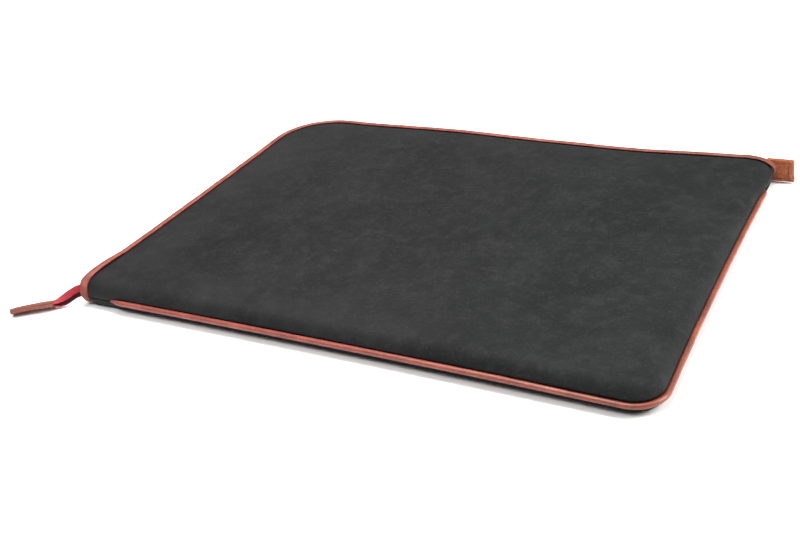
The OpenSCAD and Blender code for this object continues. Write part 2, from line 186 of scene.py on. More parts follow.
def capsules(name, centres, dirs, normals, length, radius, mat, flat=0.7, sides=8):
    """Many short threads, each a capsule lying along dirs, in one mesh."""
    prof = [(-0.5, 0.0), (-0.47, 0.55), (-0.36, 0.92), (-0.12, 1.0), (0.12, 1.0), (0.36, 0.92), (0.47, 0.55), (0.5, 0.0)]
    verts, faces, uv = [], [], []
    a = np.linspace(0, 2 * math.pi, sides, endpoint=False)
    for c, d, n in zip(np.asarray(centres, float), unit(dirs), unit(normals)):
        b = np.cross(d, n)
        base = len(verts)
        rings = []
        for (x, r) in prof:
            p = c + d * x * length
            if r == 0.0:
                rings.append([len(verts)])
                verts.append(p)
                uv.append((x * length * MM, 0))
            else:
                ring = []
                for q in a:
                    ring.append(len(verts))
                    verts.append(p + (b * math.cos(q) + n * math.sin(q) * flat) * radius * r)
                    uv.append((x * length * MM, q * radius * MM))
                rings.append(ring)
        for r0, r1 in zip(rings[:-1], rings[1:]):
            if len(r0) == 1:
                for k in range(sides):
                    faces.append((r0[0], r1[k], r1[(k + 1) % sides]))
            elif len(r1) == 1:
                for k in range(sides):
                    faces.append((r0[k], r1[0], r0[(k + 1) % sides]))
            else:
                for k in range(sides):
                    faces.append((r0[k], r1[k], r1[(k + 1) % sides], r0[(k + 1) % sides]))
    return make(name, np.array(verts), faces, mat, uv=np.array(uv))


def along(path, pitch, start=0.0, end=None):
    """Points every pitch along a polyline, with index positions for interpolation."""
    P = np.asarray(path, float)
    run = np.concatenate([[0], np.cumsum(np.linalg.norm(np.diff(P, axis=0), axis=1))])
    end = run[-1] if end is None else end
    return run, np.arange(start, end, pitch)


def interp(run, values, at):
    values = np.asarray(values, float)
    return np.stack([np.interp(at, run, values[:, k]) for k in range(values.shape[1])], axis=1)


def curve_through(K, n):
    """A smooth curve through control points."""
    K = np.asarray(K, float)
    out = []
    P = np.concatenate([[2 * K[0] - K[1]], K, [2 * K[-1] - K[-2]]])
    m = len(K) - 1
    for u in np.linspace(0, m, n):
        i = min(int(u), m - 1)
        t = u - i
        p0, p1, p2, p3 = P[i], P[i + 1], P[i + 2], P[i + 3]
        out.append(0.5 * ((2 * p1) + (p2 - p0) * t + (2 * p0 - 5 * p1 + 4 * p2 - p3) * t * t + (3 * p1 - p0 - 3 * p2 + p3) * t ** 3))
    return np.array(out)


# ---------------------------------------------------------------- materials
class Mat:
    """A small helper that wires one principled material."""

    def __init__(self, name):
        self.m = bpy.data.materials.new(name)
        self.m.use_nodes = True
        self.t = self.m.node_tree
        self.b = next(n for n in self.t.nodes if n.type == "BSDF_PRINCIPLED")
        self.co = self.n("ShaderNodeTexCoord")

    def n(self, kind, **kw):
        node = self.t.nodes.new(kind)
        for k, v in kw.items():
            setattr(node, k, v)
        return node

    def link(self, a, b):
        self.t.links.new(a, b)

    def mapped(self, scale=(1, 1, 1), rot=(0, 0, 0), uv=False, loc=(0, 0, 0)):
        mp = self.n("ShaderNodeMapping")
        mp.inputs["Scale"].default_value = scale
        mp.inputs["Rotation"].default_value = rot
        mp.inputs["Location"].default_value = loc
        self.link(self.co.outputs["UV" if uv else "Object"], mp.inputs["Vector"])
        return mp.outputs["Vector"]

    def noise(self, scale, detail=4.0, rough=0.55, distort=0.0, vec=None, loc=(0, 0, 0)):
        t = self.n("ShaderNodeTexNoise")
        t.inputs["Scale"].default_value = scale
        t.inputs["Detail"].default_value = detail
        t.inputs["Roughness"].default_value = rough
        t.inputs["Distortion"].default_value = distort
        self.link(vec if vec is not None else self.mapped(loc=loc), t.inputs["Vector"])
        return t.outputs["Fac"]

    def voronoi(self, scale, feature="F1", vec=None, rand=1.0):
        t = self.n("ShaderNodeTexVoronoi", feature=feature)
        t.inputs["Scale"].default_value = scale
        t.inputs["Randomness"].default_value = rand
        self.link(vec if vec is not None else self.mapped(), t.inputs["Vector"])
        return t.outputs["Distance"]

    def wave(self, scale, direction="X", distort=0.0, vec=None, profile="SIN", dscale=1.0):
        t = self.n("ShaderNodeTexWave", wave_type="BANDS", bands_direction=direction, wave_profile=profile)
        t.inputs["Scale"].default_value = scale
        t.inputs["Distortion"].default_value = distort
        t.inputs["Detail"].default_value = 1.0
        t.inputs["Detail Scale"].default_value = dscale
        self.link(vec if vec is not None else self.mapped(), t.inputs["Vector"])
        return t.outputs["Fac"]

    def ramp(self, fac, stops, interp="LINEAR"):
        r = self.n("ShaderNodeValToRGB")
        r.color_ramp.interpolation = interp
        el = r.color_ramp.elements
        while len(el) < len(stops):
            el.new(0.5)
        for e, (p, c) in zip(el, stops):
            e.position = p
            e.color = (*c, 1) if len(c) == 3 else c
        self.link(fac, r.inputs["Fac"])
        return r.outputs["Color"]

    def span(self, fac, lo, hi, a=0.0, b=1.0):
        r = self.n("ShaderNodeMapRange")
        r.inputs["From Min"].default_value = lo
        r.inputs["From Max"].default_value = hi
        r.inputs["To Min"].default_value = a
        r.inputs["To Max"].default_value = b
        self.link(fac, r.inputs["Value"])
        return r.outputs["Result"]

    def mix(self, fac, a, b, blend="MIX"):
        x = self.n("ShaderNodeMix", data_type="RGBA", blend_type=blend)
        for value, i in ((fac, 0), (a, 6), (b, 7)):
            if isinstance(value, (int, float)):
                x.inputs[i].default_value = value
            elif isinstance(value, (tuple, list)):
                x.inputs[i].default_value = (*value, 1) if len(value) == 3 else value
            else:
                self.link(value, x.inputs[i])
        return x.outputs[2]

    def math(self, op, a, b=0.0):
        x = self.n("ShaderNodeMath", operation=op)
        for value, i in ((a, 0), (b, 1)):
            if isinstance(value, (int, float)):
                x.inputs[i].default_value = value
            else:
                self.link(value, x.inputs[i])
        return x.outputs[0]

    def sep(self, vec, i):
        s = self.n("ShaderNodeSeparateXYZ")
        self.link(vec, s.inputs[0])
        return s.outputs[i]

    def bump(self, height, strength, distance, normal=None):
        x = self.n("ShaderNodeBump")
        x.inputs["Strength"].default_value = strength
        x.inputs["Distance"].default_value = distance
        self.link(height, x.inputs["Height"])
        if normal is not None:
            self.link(normal, x.inputs["Normal"])
        return x.outputs["Normal"]

    def set(self, **kw):
        names = {"color": "Base Color", "rough": "Roughness", "normal": "Normal", "spec": "Specular IOR Level",
                 "metal": "Metallic", "sheen": "Sheen Weight", "sheen_rough": "Sheen Roughness", "coat": "Coat Weight",
                 "coat_rough": "Coat Roughness", "sheen_tint": "Sheen Tint"}
        for k, v in kw.items():
            s = self.b.inputs[names[k]]
            if isinstance(v, bpy.types.NodeSocket):
                self.link(v, s)
            else:
                s.default_value = (*v, 1) if isinstance(v, tuple) and len(v) == 3 else v
        return self


def mat_panel():
    """Charcoal waxed nubuck: cloudy pull-up marks, fine nap and a few faint scuffs."""
    k = Mat("panel_nubuck")
    big = k.noise(11, 5, 0.6, 0.6)
    cloud = k.noise(38, 6, 0.62, 0.3, loc=(0.31, 0.12, 0))
    streak = k.noise(1, 6, 0.6, 0.8, vec=k.mapped(scale=(16, 70, 40), rot=(0, 0, 0.35)))
    fine = k.noise(1500, 3, 0.7)
    grain = k.noise(620, 3, 0.75)
    nap = k.noise(150, 4, 0.65, loc=(0.05, 0.4, 0))
    base = k.ramp(big, [(0.28, (0.0115, 0.0118, 0.0122)), (0.50, (0.0180, 0.0181, 0.0186)), (0.72, (0.0270, 0.0268, 0.0272))])
    x = k.sep(k.co.outputs["Object"], 0)
    # painted light and shade across the panel, by x: lighter and faintly violet on the left, darker and greener on the
    # right
    painted_shading = k.span(x, -0.17, 0.17)
    base = k.mix(1.0, base, k.ramp(painted_shading, [(0.0, (0.66, 0.625, 0.675)), (0.5, (0.56, 0.56, 0.57)), (1.0, (0.315, 0.415, 0.385))]), "MULTIPLY")
    base = k.mix(k.span(cloud, 0.46, 0.76, 0.0, 0.34), base, (0.033, 0.033, 0.033))
    base = k.mix(k.span(streak, 0.58, 0.80, 0.0, 0.20), base, (0.038, 0.038, 0.038))
    base = k.mix(k.span(fine, 0.40, 0.70, 0.0, 0.45), base, (0.008, 0.008, 0.009))
    base = k.mix(k.span(grain, 0.40, 0.62, 0.42, 0.0), base, (0.006, 0.006, 0.0065))
    base = k.mix(k.span(grain, 0.56, 0.74, 0.0, 0.50), base, (0.040, 0.039, 0.040))
    base = k.mix(k.span(nap, 0.50, 0.70, 0.0, 0.30), base, (0.030, 0.0295, 0.030))
    ax = k.math("MULTIPLY", k.math("ABSOLUTE", x), 1 / 0.1725)
    ay = k.math("MULTIPLY", k.math("ABSOLUTE", k.sep(k.co.outputs["Object"], 1)), 1 / 0.1265)
    rim = k.math("MULTIPLY", k.span(k.math("MAXIMUM", ax, ay), 0.66, 0.97, 0.0, 1.0), k.span(k.noise(24, 4, 0.6, 0.3, loc=(0.7, 0.2, 0)), 0.35, 0.65, 0.10, 0.62))
    # the lighter rim fades out towards the right: painted shade there, against the right lamp
    rim = k.math("MULTIPLY", rim, k.span(x, -0.17, 0.17, 1.0, 0.25))
    base = k.mix(rim, base, (0.0235, 0.0230, 0.0235))
    specks = k.voronoi(210)
    base = k.mix(k.span(specks, 0.035, 0.0, 0.0, 0.35), base, (0.08, 0.08, 0.08))
    scuff = k.noise(1, 3, 0.5, 0.0, vec=k.mapped(scale=(30, 900, 60), rot=(0, 0, 1.1)))
    base = k.mix(k.span(scuff, 0.72, 0.82, 0.0, 0.22), base, (0.050, 0.049, 0.050))
    n1 = k.bump(k.noise(2100, 4, 0.7), 0.35, 0.00022)
    n2 = k.bump(k.noise(420, 5, 0.65), 0.25, 0.0006, n1)
    n3 = k.bump(cloud, 0.20, 0.0012, n2)
    k.set(color=base, rough=k.span(cloud, 0.3, 0.8, 0.72, 0.58), normal=n3, spec=0.11)
    return k.m


def mat_trim(name="trim_leather", lo=(0.120, 0.022, 0.011), mid=(0.200, 0.040, 0.021), hi=(0.275, 0.070, 0.040), rough=(0.30, 0.46), grain=1.0, coat=0.22, spec=0.45):
    """Smooth tan leather with fine pores, darker creases and paler rubbed spots."""
    k = Mat(name)
    big = k.noise(70, 5, 0.6, 0.4)
    small = k.noise(620, 5, 0.65)
    base = k.ramp(big, [(0.28, lo), (0.52, mid), (0.78, hi)])
    base = k.mix(k.span(small, 0.50, 0.76, 0.0, 0.45 * grain), base, tuple(min(1, c * 1.45) for c in hi))
    pores = k.voronoi(1500)
    base = k.mix(k.span(pores, 0.20, 0.02, 0.0, 0.55), base, tuple(c * 0.45 for c in lo))
    crease = k.noise(1, 4, 0.6, 0.5, vec=k.mapped(scale=(260, 260, 700)))
    base = k.mix(k.span(crease, 0.60, 0.78, 0.0, 0.40), base, tuple(c * 0.6 for c in lo))
    # painted light and shade across all the trim leathers, by x: bluer on the left, darker and more orange on the
    # right
    painted_side_light = k.ramp(k.span(k.sep(k.co.outputs["Object"], 0), -0.12, 0.17), [(0.0, (1.0, 1.04, 1.32)), (0.5, (0.97, 0.98, 1.04)), (1.0, (0.70, 0.73, 0.60))])
    base = k.mix(1.0, base, painted_side_light, "MULTIPLY")
    n1 = k.bump(k.span(pores, 0.0, 0.28), 0.45, 0.00018)
    n2 = k.bump(small, 0.35, 0.00045, n1)
    k.set(color=base, rough=k.span(big, 0.3, 0.75, rough[1], rough[0]), normal=n2, spec=spec, coat=coat, coat_rough=0.24)
    return k.m


def mat_tape(name="zip_tape_red", painted_shading=1.0):
    """Woven zip tape: a herringbone of fine ribs along it, with thread colour changes."""
    k = Mat(name)
    warp = k.wave(410, "Y", 0.0, vec=k.mapped(uv=True))
    weft = k.wave(460, "X", 0.0, vec=k.mapped(rot=(0, 0, 0.62), uv=True))
    weft2 = k.wave(460, "X", 0.0, vec=k.mapped(rot=(0, 0, -0.62), uv=True))
    rib = k.math("MULTIPLY", k.math("MAXIMUM", weft, weft2), k.span(warp, 0, 1, 0.55, 1.0))
    big = k.noise(160, 4, 0.6)
    # this factor scales the whole colour; below 1 it gives a copy darkened as painted shade
    base = k.ramp(big, [(0.3, (0.31 * painted_shading, 0.016 * painted_shading, 0.026 * painted_shading)), (0.55, (0.44 * painted_shading, 0.032 * painted_shading, 0.046 * painted_shading)), (0.8, (0.54 * painted_shading, 0.060 * painted_shading, 0.078 * painted_shading))])
    base = k.mix(k.span(rib, 0.15, 0.75, 0.65, 0.0), base, (0.12 * painted_shading, 0.004, 0.007))
    fuzz = k.noise(2600, 3, 0.7)
    base = k.mix(k.span(fuzz, 0.50, 0.82, 0.0, 0.38), base, (0.66 * painted_shading, 0.16 * painted_shading, 0.19 * painted_shading))
    n1 = k.bump(rib, 0.8, 0.00022)
    n2 = k.bump(fuzz, 0.3, 0.0002, n1)
    k.set(color=base, rough=k.span(rib, 0, 1, 0.85, 0.62), normal=n2, spec=0.22, sheen=0.10 * painted_shading, sheen_rough=0.4)
    return k.m


def mat_lining():
    """Plain-woven cotton lining."""
    k = Mat("lining_cotton")
    wx = k.wave(330, "X", 0.3)
    wy = k.wave(330, "Y", 0.3)
    over = k.math("GREATER_THAN", k.math("MULTIPLY", k.math("SUBTRACT", k.wave(165, "X"), 0.5), k.math("SUBTRACT", k.wave(165, "Y"), 0.5)), 0.0)
    h = k.math("ADD", k.math("MULTIPLY", wx, over), k.math("MULTIPLY", wy, k.math("SUBTRACT", 1.0, over)))
    big = k.noise(22, 5, 0.6)
    base = k.ramp(big, [(0.3, (0.140, 0.010, 0.015)), (0.7, (0.215, 0.017, 0.024))])
    base = k.mix(k.span(h, 0.1, 0.8, 0.55, 0.0), base, (0.050, 0.004, 0.006))
    slub = k.noise(1, 2, 0.5, 0.0, vec=k.mapped(scale=(40, 1100, 40)))
    base = k.mix(k.span(slub, 0.62, 0.78, 0.0, 0.30), base, (0.29, 0.040, 0.046))
    n = k.bump(k.noise(60, 4, 0.6), 0.25, 0.0008, k.bump(h, 0.7, 0.0003))
    k.set(color=base, rough=k.span(h, 0, 1, 0.92, 0.78), normal=n, spec=0.15, sheen=0.08, sheen_rough=0.5)
    return k.m


def mat_foam():
    k = Mat("closed_cell_foam")
    cells = k.voronoi(900)
    big = k.noise(30, 4, 0.6)
    base = k.ramp(big, [(0.3, (0.060, 0.060, 0.066)), (0.7, (0.085, 0.085, 0.092))])
    base = k.mix(k.span(cells, 0.0, 0.5, 0.5, 0.0), base, (0.02, 0.02, 0.022))
    k.set(color=base, rough=k.span(cells, 0, 0.6, 0.95, 0.8), normal=k.bump(cells, 0.6, 0.0005), spec=0.2)
    return k.m


def mat_cord():
    k = Mat("cotton_cord")
    w = k.wave(520, "X", 0.0, vec=k.mapped(rot=(0, 0, 0.9), uv=True))
    base = k.ramp(w, [(0.1, (0.30, 0.25, 0.18)), (0.8, (0.70, 0.64, 0.54))])
    k.set(color=base, rough=k.span(k.noise(500), 0, 1, 0.8, 0.95), normal=k.bump(w, 0.9, 0.0004))
    return k.m


def mat_thread(name="waxed_thread", a=(0.11, 0.026, 0.015), b=(0.27, 0.085, 0.055)):
    k = Mat(name)
    w = k.wave(900, "X", 0.0, vec=k.mapped(rot=(0, 0, 0.7), uv=True))
    big = k.noise(300, 3)
    base = k.mix(k.span(w, 0.2, 0.9), a, b)
    base = k.mix(k.span(big, 0.4, 0.8, 0.0, 0.4), base, tuple(c * 0.6 for c in a))
    k.set(color=base, rough=k.span(w, 0, 1, 0.6, 0.42), normal=k.bump(w, 0.8, 0.00015), spec=0.4)
    return k.m


def mat_metal(name="satin_nickel"):
    k = Mat(name)
    brushed = k.noise(1, 3, 0.6, 0.0, vec=k.mapped(scale=(300, 2600, 2600)))
    spot = k.noise(420, 4, 0.6)
    base = k.ramp(spot, [(0.3, (0.44, 0.42, 0.39)), (0.6, (0.60, 0.585, 0.56)), (0.85, (0.70, 0.69, 0.67))])
    base = k.mix(k.span(brushed, 0.6, 0.8, 0.0, 0.35), base, (0.30, 0.28, 0.26))
    k.set(color=base, metal=1.0, rough=k.span(brushed, 0.2, 0.8, 0.22, 0.42), normal=k.bump(brushed, 0.15, 0.00005))
    return k.m


def mat_coil():
    k = Mat("nylon_coil")
    n = k.noise(900, 4)
    base = k.ramp(n, [(0.3, (0.20, 0.010, 0.015)), (0.7, (0.32, 0.024, 0.032))])
    k.set(color=base, rough=k.span(n, 0.2, 0.8, 0.30, 0.48), normal=k.bump(n, 0.2, 0.0001), spec=0.5)
    return k.m


def mat_edge():
    """Raw cut edge of the leather: paler, fibrous."""
    k = Mat("cut_edge")
    n = k.noise(1, 4, 0.7, 0.0, vec=k.mapped(scale=(900, 900, 2600)))
    base = k.ramp(n, [(0.3, (0.130, 0.036, 0.020)), (0.55, (0.205, 0.060, 0.036)), (0.8, (0.300, 0.120, 0.080))])
    k.set(color=base, rough=k.span(n, 0, 1, 0.75, 0.9), normal=k.bump(n, 0.6, 0.0003))
    return k.m


M_PANEL = mat_panel()
M_PIPE = mat_trim("piping_leather", (0.135, 0.025, 0.0140), (0.234, 0.048, 0.028), (0.324, 0.083, 0.051), coat=0.16, spec=0.38)
M_TRIM = mat_trim("trim_leather", (0.112, 0.020, 0.0100), (0.195, 0.039, 0.0205), (0.285, 0.072, 0.042), (0.44, 0.60), grain=1.5, coat=0.04, spec=0.34)
# the tab leather is a browner tone than the trim, and is also made far lighter: painted light on the front-facing end
# tab (the pull tag wears it too)
M_TAB = mat_trim("tab_leather", (0.205, 0.047, 0.021), (0.405, 0.103, 0.046), (0.570, 0.190, 0.098), (0.52, 0.68), grain=1.7, coat=0.0, spec=0.28)
M_TAIL = mat_trim("tail_leather", (0.100, 0.0125, 0.0060), (0.176, 0.026, 0.0130), (0.255, 0.051, 0.028), (0.50, 0.66), grain=1.5, coat=0.0, spec=0.30)
M_TAPE = mat_tape()
# the tape darkened to a tenth: painted shade, for the inside of the tail's fold and for the seam tape inside the case
M_TAPE_PAINTED_SHADE = mat_tape("tape_inner_face_painted_shade", 0.10)
M_LINING = mat_lining()
M_FOAM = mat_foam()
M_CORD = mat_cord()
M_THREAD = mat_thread()
M_TABTHREAD = mat_thread("tab_thread", (0.045, 0.012, 0.007), (0.120, 0.034, 0.018))
M_METAL = mat_metal()
M_COIL = mat_coil()
M_EDGE = mat_edge()

# ------------------------------------------------------- outline of the sleeve
RAD = {"fl": 8.5, "fr": 16.0, "br": 15.0, "bl": 38.5}
SIGN = {"fl": (-1, -1), "fr": (1, -1), "br": (1, 1), "bl": (-1, 1)}
HALF = {"fl": 6, "fr": 8, "br": 8, "bl": 12}
STR = {"front": 112, "right": 76, "back": 106, "left": 74}
# front = 6+112+8 = 126, back = 8+106+12 = 126; right = 8+76+8 = 92, left = 12+74+6 = 92
VERT = []      # (kind, a, b, t): arc corner+angle, or side between two arc ends
for side, c0, a0, c1, a1, nrm in (("front", "fl", 270, "fr", 270, (0, -1)), ("right", "fr", 0, "br", 0, (1, 0)),
                                  ("back", "br", 90, "bl", 90, (0, 1)), ("left", "bl", 180, "fl", 180, (-1, 0))):
    for i in range(HALF[c0]):
        VERT.append(("arc", c0, a0 - 45 + 45 * i / HALF[c0], None, None, None))
    n = STR[side]
    for i in range(n):
        VERT.append(("side", c0, a0, c1, i / n, side))
    for i in range(HALF[c1]):
        VERT.append(("arc", c1, a0 + 45 * i / HALF[c1], None, None, None))
NV = len(VERT)
NF = HALF["fl"] + STR["front"] + HALF["fr"]
NR = HALF["fr"] + STR["right"] + HALF["br"]
NORMAL = {"front": (0, -1), "right": (1, 0), "back": (0, 1), "left": (-1, 0)}
BOW = {"front": 1.2, "right": 1.4, "back": 0.0, "left": 0.0}
SAG_LEFT = -0.7
# the back edge dips unevenly, most over the right half where the case is pressed by its own puller
DIP_X = [-134, -107, -85, -50, -27, -8, 20, 46, 70, 90, 105, 126, 157]
DIP_Z = [0.0, -0.3, 0.1, 0.5, 0.3, -0.5, -1.05, -1.55, -1.85, -2.0, -1.5, -0.5, 0.0]


def dip(x):
    """Height of the back edge over its nominal line, smoothed between the points above."""
    x = np.asarray(x, float)
    return sum(np.interp(x + o, DIP_X, DIP_Z) for o in (-12, -6, 0, 6, 12)) / 5


def arc_pt(c, deg, d):
    sx, sy = SIGN[c]
    r = max(RAD[c] - d, 3.0)
    return np.array([sx * (HX - d - r) + r * math.cos(math.radians(deg)), sy * (HY - d - r) + r * math.sin(math.radians(deg))])


def point(i, d):
    k = VERT[i % NV]
    if k[0] == "arc":
        return arc_pt(k[1], k[2], d)
    _, c0, a, c1, t, side = k
    p = (1 - t) * arc_pt(c0, a, d) + t * arc_pt(c1, a, d)
    q = 4 * t * (1 - t) * max(0.0, 1 - max(d, 0) / 45)
    return p - np.array(NORMAL[side]) * BOW[side] * q


def outward(i):
    k = VERT[i % NV]
    if k[0] == "arc":
        return np.array([math.cos(math.radians(k[2])), math.sin(math.radians(k[2]))])
    return np.array(NORMAL[k[5]], float)


def sag(i):
    k = VERT[i % NV]
    if k[0] != "side" or k[5] in ("front", "right"):
        return 0.0
    fade = float(smooth(k[4] * 12) * smooth((1 - k[4]) * 12))
    return float(dip(point(i, 0.0)[0])) * fade if k[5] == "back" else SAG_LEFT * 4 * k[4] * (1 - k[4])


BASE = np.array([point(i, 0.0) for i in range(NV)])
OUT = np.array([outward(i) for i in range(NV)])
SAGS = np.array([sag(i) for i in range(NV)])
seg = np.linalg.norm(np.roll(BASE, -1, 0) - BASE, axis=1)
RUN = np.concatenate([[0], np.cumsum(seg)])          # RUN[NV] is the whole way round
PERIM = RUN[-1]
# vertex 0 is the middle of the front left corner; NF+NR is the middle of the back right corner
S_BR = RUN[NF + NR]


def from_fl(s):
    """Signed way from the middle of the front left corner, positive along the front."""
    return (s + PERIM / 2) % PERIM - PERIM / 2


def zip_weight(s):
    a = from_fl(s)
    b = s - S_BR
    left = 1 - smooth((a + 10) / 12)                 # 1 on the left side, 0 on the front
    right = smooth((b + 9.5) / 10)                    # 1 on the back, 0 on the right side
    return np.where(s > PERIM * 0.8, left, np.where(s < PERIM * 0.2, left, right))


W = zip_weight(RUN[:-1])
BULGE = 3.3 * smooth((RUN[:-1] - (S_BR - 42)) / 18) * (1 - smooth((RUN[:-1] - (S_BR - 3)) / 14)) * (RUN[:-1] < PERIM * 0.7)
PIPE = smooth((RUN[:-1] - 18) / 8) * (1 - smooth((RUN[:-1] - (S_BR - 24)) / 5)) * (RUN[:-1] < S_BR)


# ------------------------------------------------- cloth simulation of a panel
def simulate_panel():
    """The height of a padded panel's face, from cloth sewn down round its edge and pushed out by the foam."""
    nx, ny = 104, 76
    wx, wy = 2 * HX - 20, 2 * HY - 20
    xs, ys = np.linspace(-wx / 2, wx / 2, nx), np.linspace(-wy / 2, wy / 2, ny)
    X, Y = np.meshgrid(xs, ys)
    rough = np.array([[noise.noise(Vector((x * 0.021, y * 0.021, 3.1))) * 0.8 + noise.noise(Vector((x * 0.06, y * 0.06, 9.7))) * 0.35
                       for x in xs] for y in ys])
    edge = smooth(np.minimum((wx / 2 - abs(X)), (wy / 2 - abs(Y))) / 40)
    Z = rough * edge
    me = bpy.data.meshes.new("panel_cloth")
    v = np.stack([X, Y, Z], axis=2).reshape(-1, 3) * MM
    f = [(j * nx + i, j * nx + i + 1, (j + 1) * nx + i + 1, (j + 1) * nx + i) for j in range(ny - 1) for i in range(nx - 1)]
    me.from_pydata([tuple(p) for p in v], [], f)
    ob = bpy.data.objects.new("panel_cloth", me)
    COL.objects.link(ob)
    pin = ob.vertex_groups.new(name="pin")
    pin.add([j * nx + i for j in range(ny) for i in range(nx) if i in (0, nx - 1) or j in (0, ny - 1)], 1.0, "REPLACE")
    m = ob.modifiers.new("cloth", "CLOTH")
    s = m.settings
    s.quality = 6
    s.mass = 0.25
    s.tension_stiffness = s.compression_stiffness = 25
    s.shear_stiffness = 12
    s.bending_stiffness = 1.2
    s.vertex_group_mass = "pin"
    s.pin_stiffness = 1.0
    s.shrink_min = -0.006
    s.use_pressure = True
    s.uniform_pressure_force = 2.5
    s.effector_weights.gravity = 0.0
    m.collision_settings.use_collision = False
    m.point_cache.frame_start = 1
    m.point_cache.frame_end = 24
    for fr in range(1, 21):
        SC.frame_set(fr)
    dg = bpy.context.evaluated_depsgraph_get()
    e = ob.evaluated_get(dg)
    out = np.zeros(len(e.data.vertices) * 3, np.float32)
    e.data.vertices.foreach_get("co", out)
    H = out.reshape(-1, 3)[:, 2].reshape(ny, nx) / MM
    bpy.data.objects.remove(ob)
    SC.frame_set(1)
    H = np.nan_to_num(H)
    if abs(H).max() < 1e-6:
        return xs, ys, (Z * 0.35 + 0.75 * edge)
    for _ in range(3):                                  # takes out the solver's finest ripples
        P = np.pad(H, 1, mode="edge")
        H = (P[1:-1, 1:-1] * 4 + P[:-2, 1:-1] + P[2:, 1:-1] + P[1:-1, :-2] + P[1:-1, 2:]) / 8
    H = H * np.sign(H.mean())
    H = H / np.percentile(abs(H), 99)                   # the foam holds the face to about this height
    return xs, ys, np.tanh(H * 1.2) * 0.95 + Z * 0.22


PX, PY, PH = simulate_panel()


def field(x, y):
    """Panel height over its edge, in mm, at points in mm."""
    fx = np.clip((x - PX[0]) / (PX[-1] - PX[0]) * (len(PX) - 1), 0, len(PX) - 1.001)
    fy = np.clip((y - PY[0]) / (PY[-1] - PY[0]) * (len(PY) - 1), 0, len(PY) - 1.001)
    i, j = fx.astype(int), fy.astype(int)
    u, v = fx - i, fy - j
    return (PH[j, i] * (1 - u) * (1 - v) + PH[j, i + 1] * u * (1 - v) + PH[j + 1, i] * (1 - u) * v + PH[j + 1, i + 1] * u * v)


# ---------------------------------------------------------------- panel meshes
def grid_fill(ring):
    """Inner points (rows of a Coons patch) for a closed ring of NV points."""
    f = ring[0:NF + 1]
    r = ring[NF:NF + NR + 1]
    b = ring[NF + NR:2 * NF + NR + 1][::-1]
    l = np.concatenate([ring[2 * NF + NR:], ring[:1]])[::-1]
    u = np.linspace(0, 1, NF + 1)[None, :, None]
    v = np.linspace(0, 1, NR + 1)[:, None, None]
    P = ((1 - v) * f[None] + v * b[None] + (1 - u) * l[:, None] + u * r[:, None]
         - ((1 - u) * (1 - v) * f[0] + u * (1 - v) * f[-1] + (1 - u) * v * b[0] + u * v * b[-1]))
    return P                                            # (NR+1, NF+1, 2)


def ring_index(grid_start):
    """Vertex ids of the patch's border in ring order, and the id of an inner grid point."""
    def gid(j, i):
        if j == 0:
            return ("r", i)
        if i == NF:
            return ("r", NF + j)
        if j == NR:
            return ("r", NF + NR + (NF - i))
        if i == 0:
            return ("r", (2 * NF + NR + (NR - j)) % NV)
        return ("g", grid_start + (j - 1) * (NF - 1) + (i - 1))
    return gid


def disc(rings_xyz, zfun):
    """A panel's surface: rings of NV points from the edge inwards, then a quad grid."""
    K = len(rings_xyz)
    verts = [p for ring in rings_xyz for p in ring]
    last = rings_xyz[-1]
    P = grid_fill(last[:, :2])
    inner = P[1:-1, 1:-1]
    iz = zfun(inner[..., 0].ravel(), inner[..., 1].ravel()).reshape(inner.shape[:2])
    start = K * NV
    verts += [np.array([inner[j, i, 0], inner[j, i, 1], iz[j, i]]) for j in range(NR - 1) for i in range(NF - 1)]
    faces = []
    for k in range(K - 1):
        for i in range(NV):
            j = (i + 1) % NV
            faces.append((k * NV + i, k * NV + j, (k + 1) * NV + j, (k + 1) * NV + i))
    gid = ring_index(start)

    def vid(j, i):
        kind, n = gid(j, i)
        return (K - 1) * NV + n % NV if kind == "r" else n
    for j in range(NR):
        for i in range(NF):
            faces.append((vid(j, i), vid(j, i + 1), vid(j + 1, i + 1), vid(j + 1, i)))
    return np.array(verts), faces


def z_top(x, y):
    e = np.clip(1 - (np.abs(x) / 168) ** 4, 0, 1) * np.clip(1 - (np.abs(y) / 122) ** 4, 0, 1)
    back = np.clip((y - 60) / 60, 0, 1)
    left = np.clip((-x - 100) / 68, 0, 1)
    s = dip(x) * smooth(back) - 0.7 * smooth(left) * np.clip(1 - (y / 100) ** 2, 0, 1)
    return 15.75 + 0.75 * e + 0.85 * field(x, y) + 0.8 * s


def z_bottom(x, y):
    return 0.12 + 0.0 * x - 0.0 * field(x, y)


EKB = [0.0, 0.03, 0.08, 0.17, 0.31, 0.46, 0.63, 0.80, 0.92, 0.98, 1.0, 1.0, 1.0]
EK = [0.0, 0.012, 0.035, 0.07, 0.125, 0.20, 0.295, 0.41, 0.55, 0.71, 0.89, 1.0, 1.0]


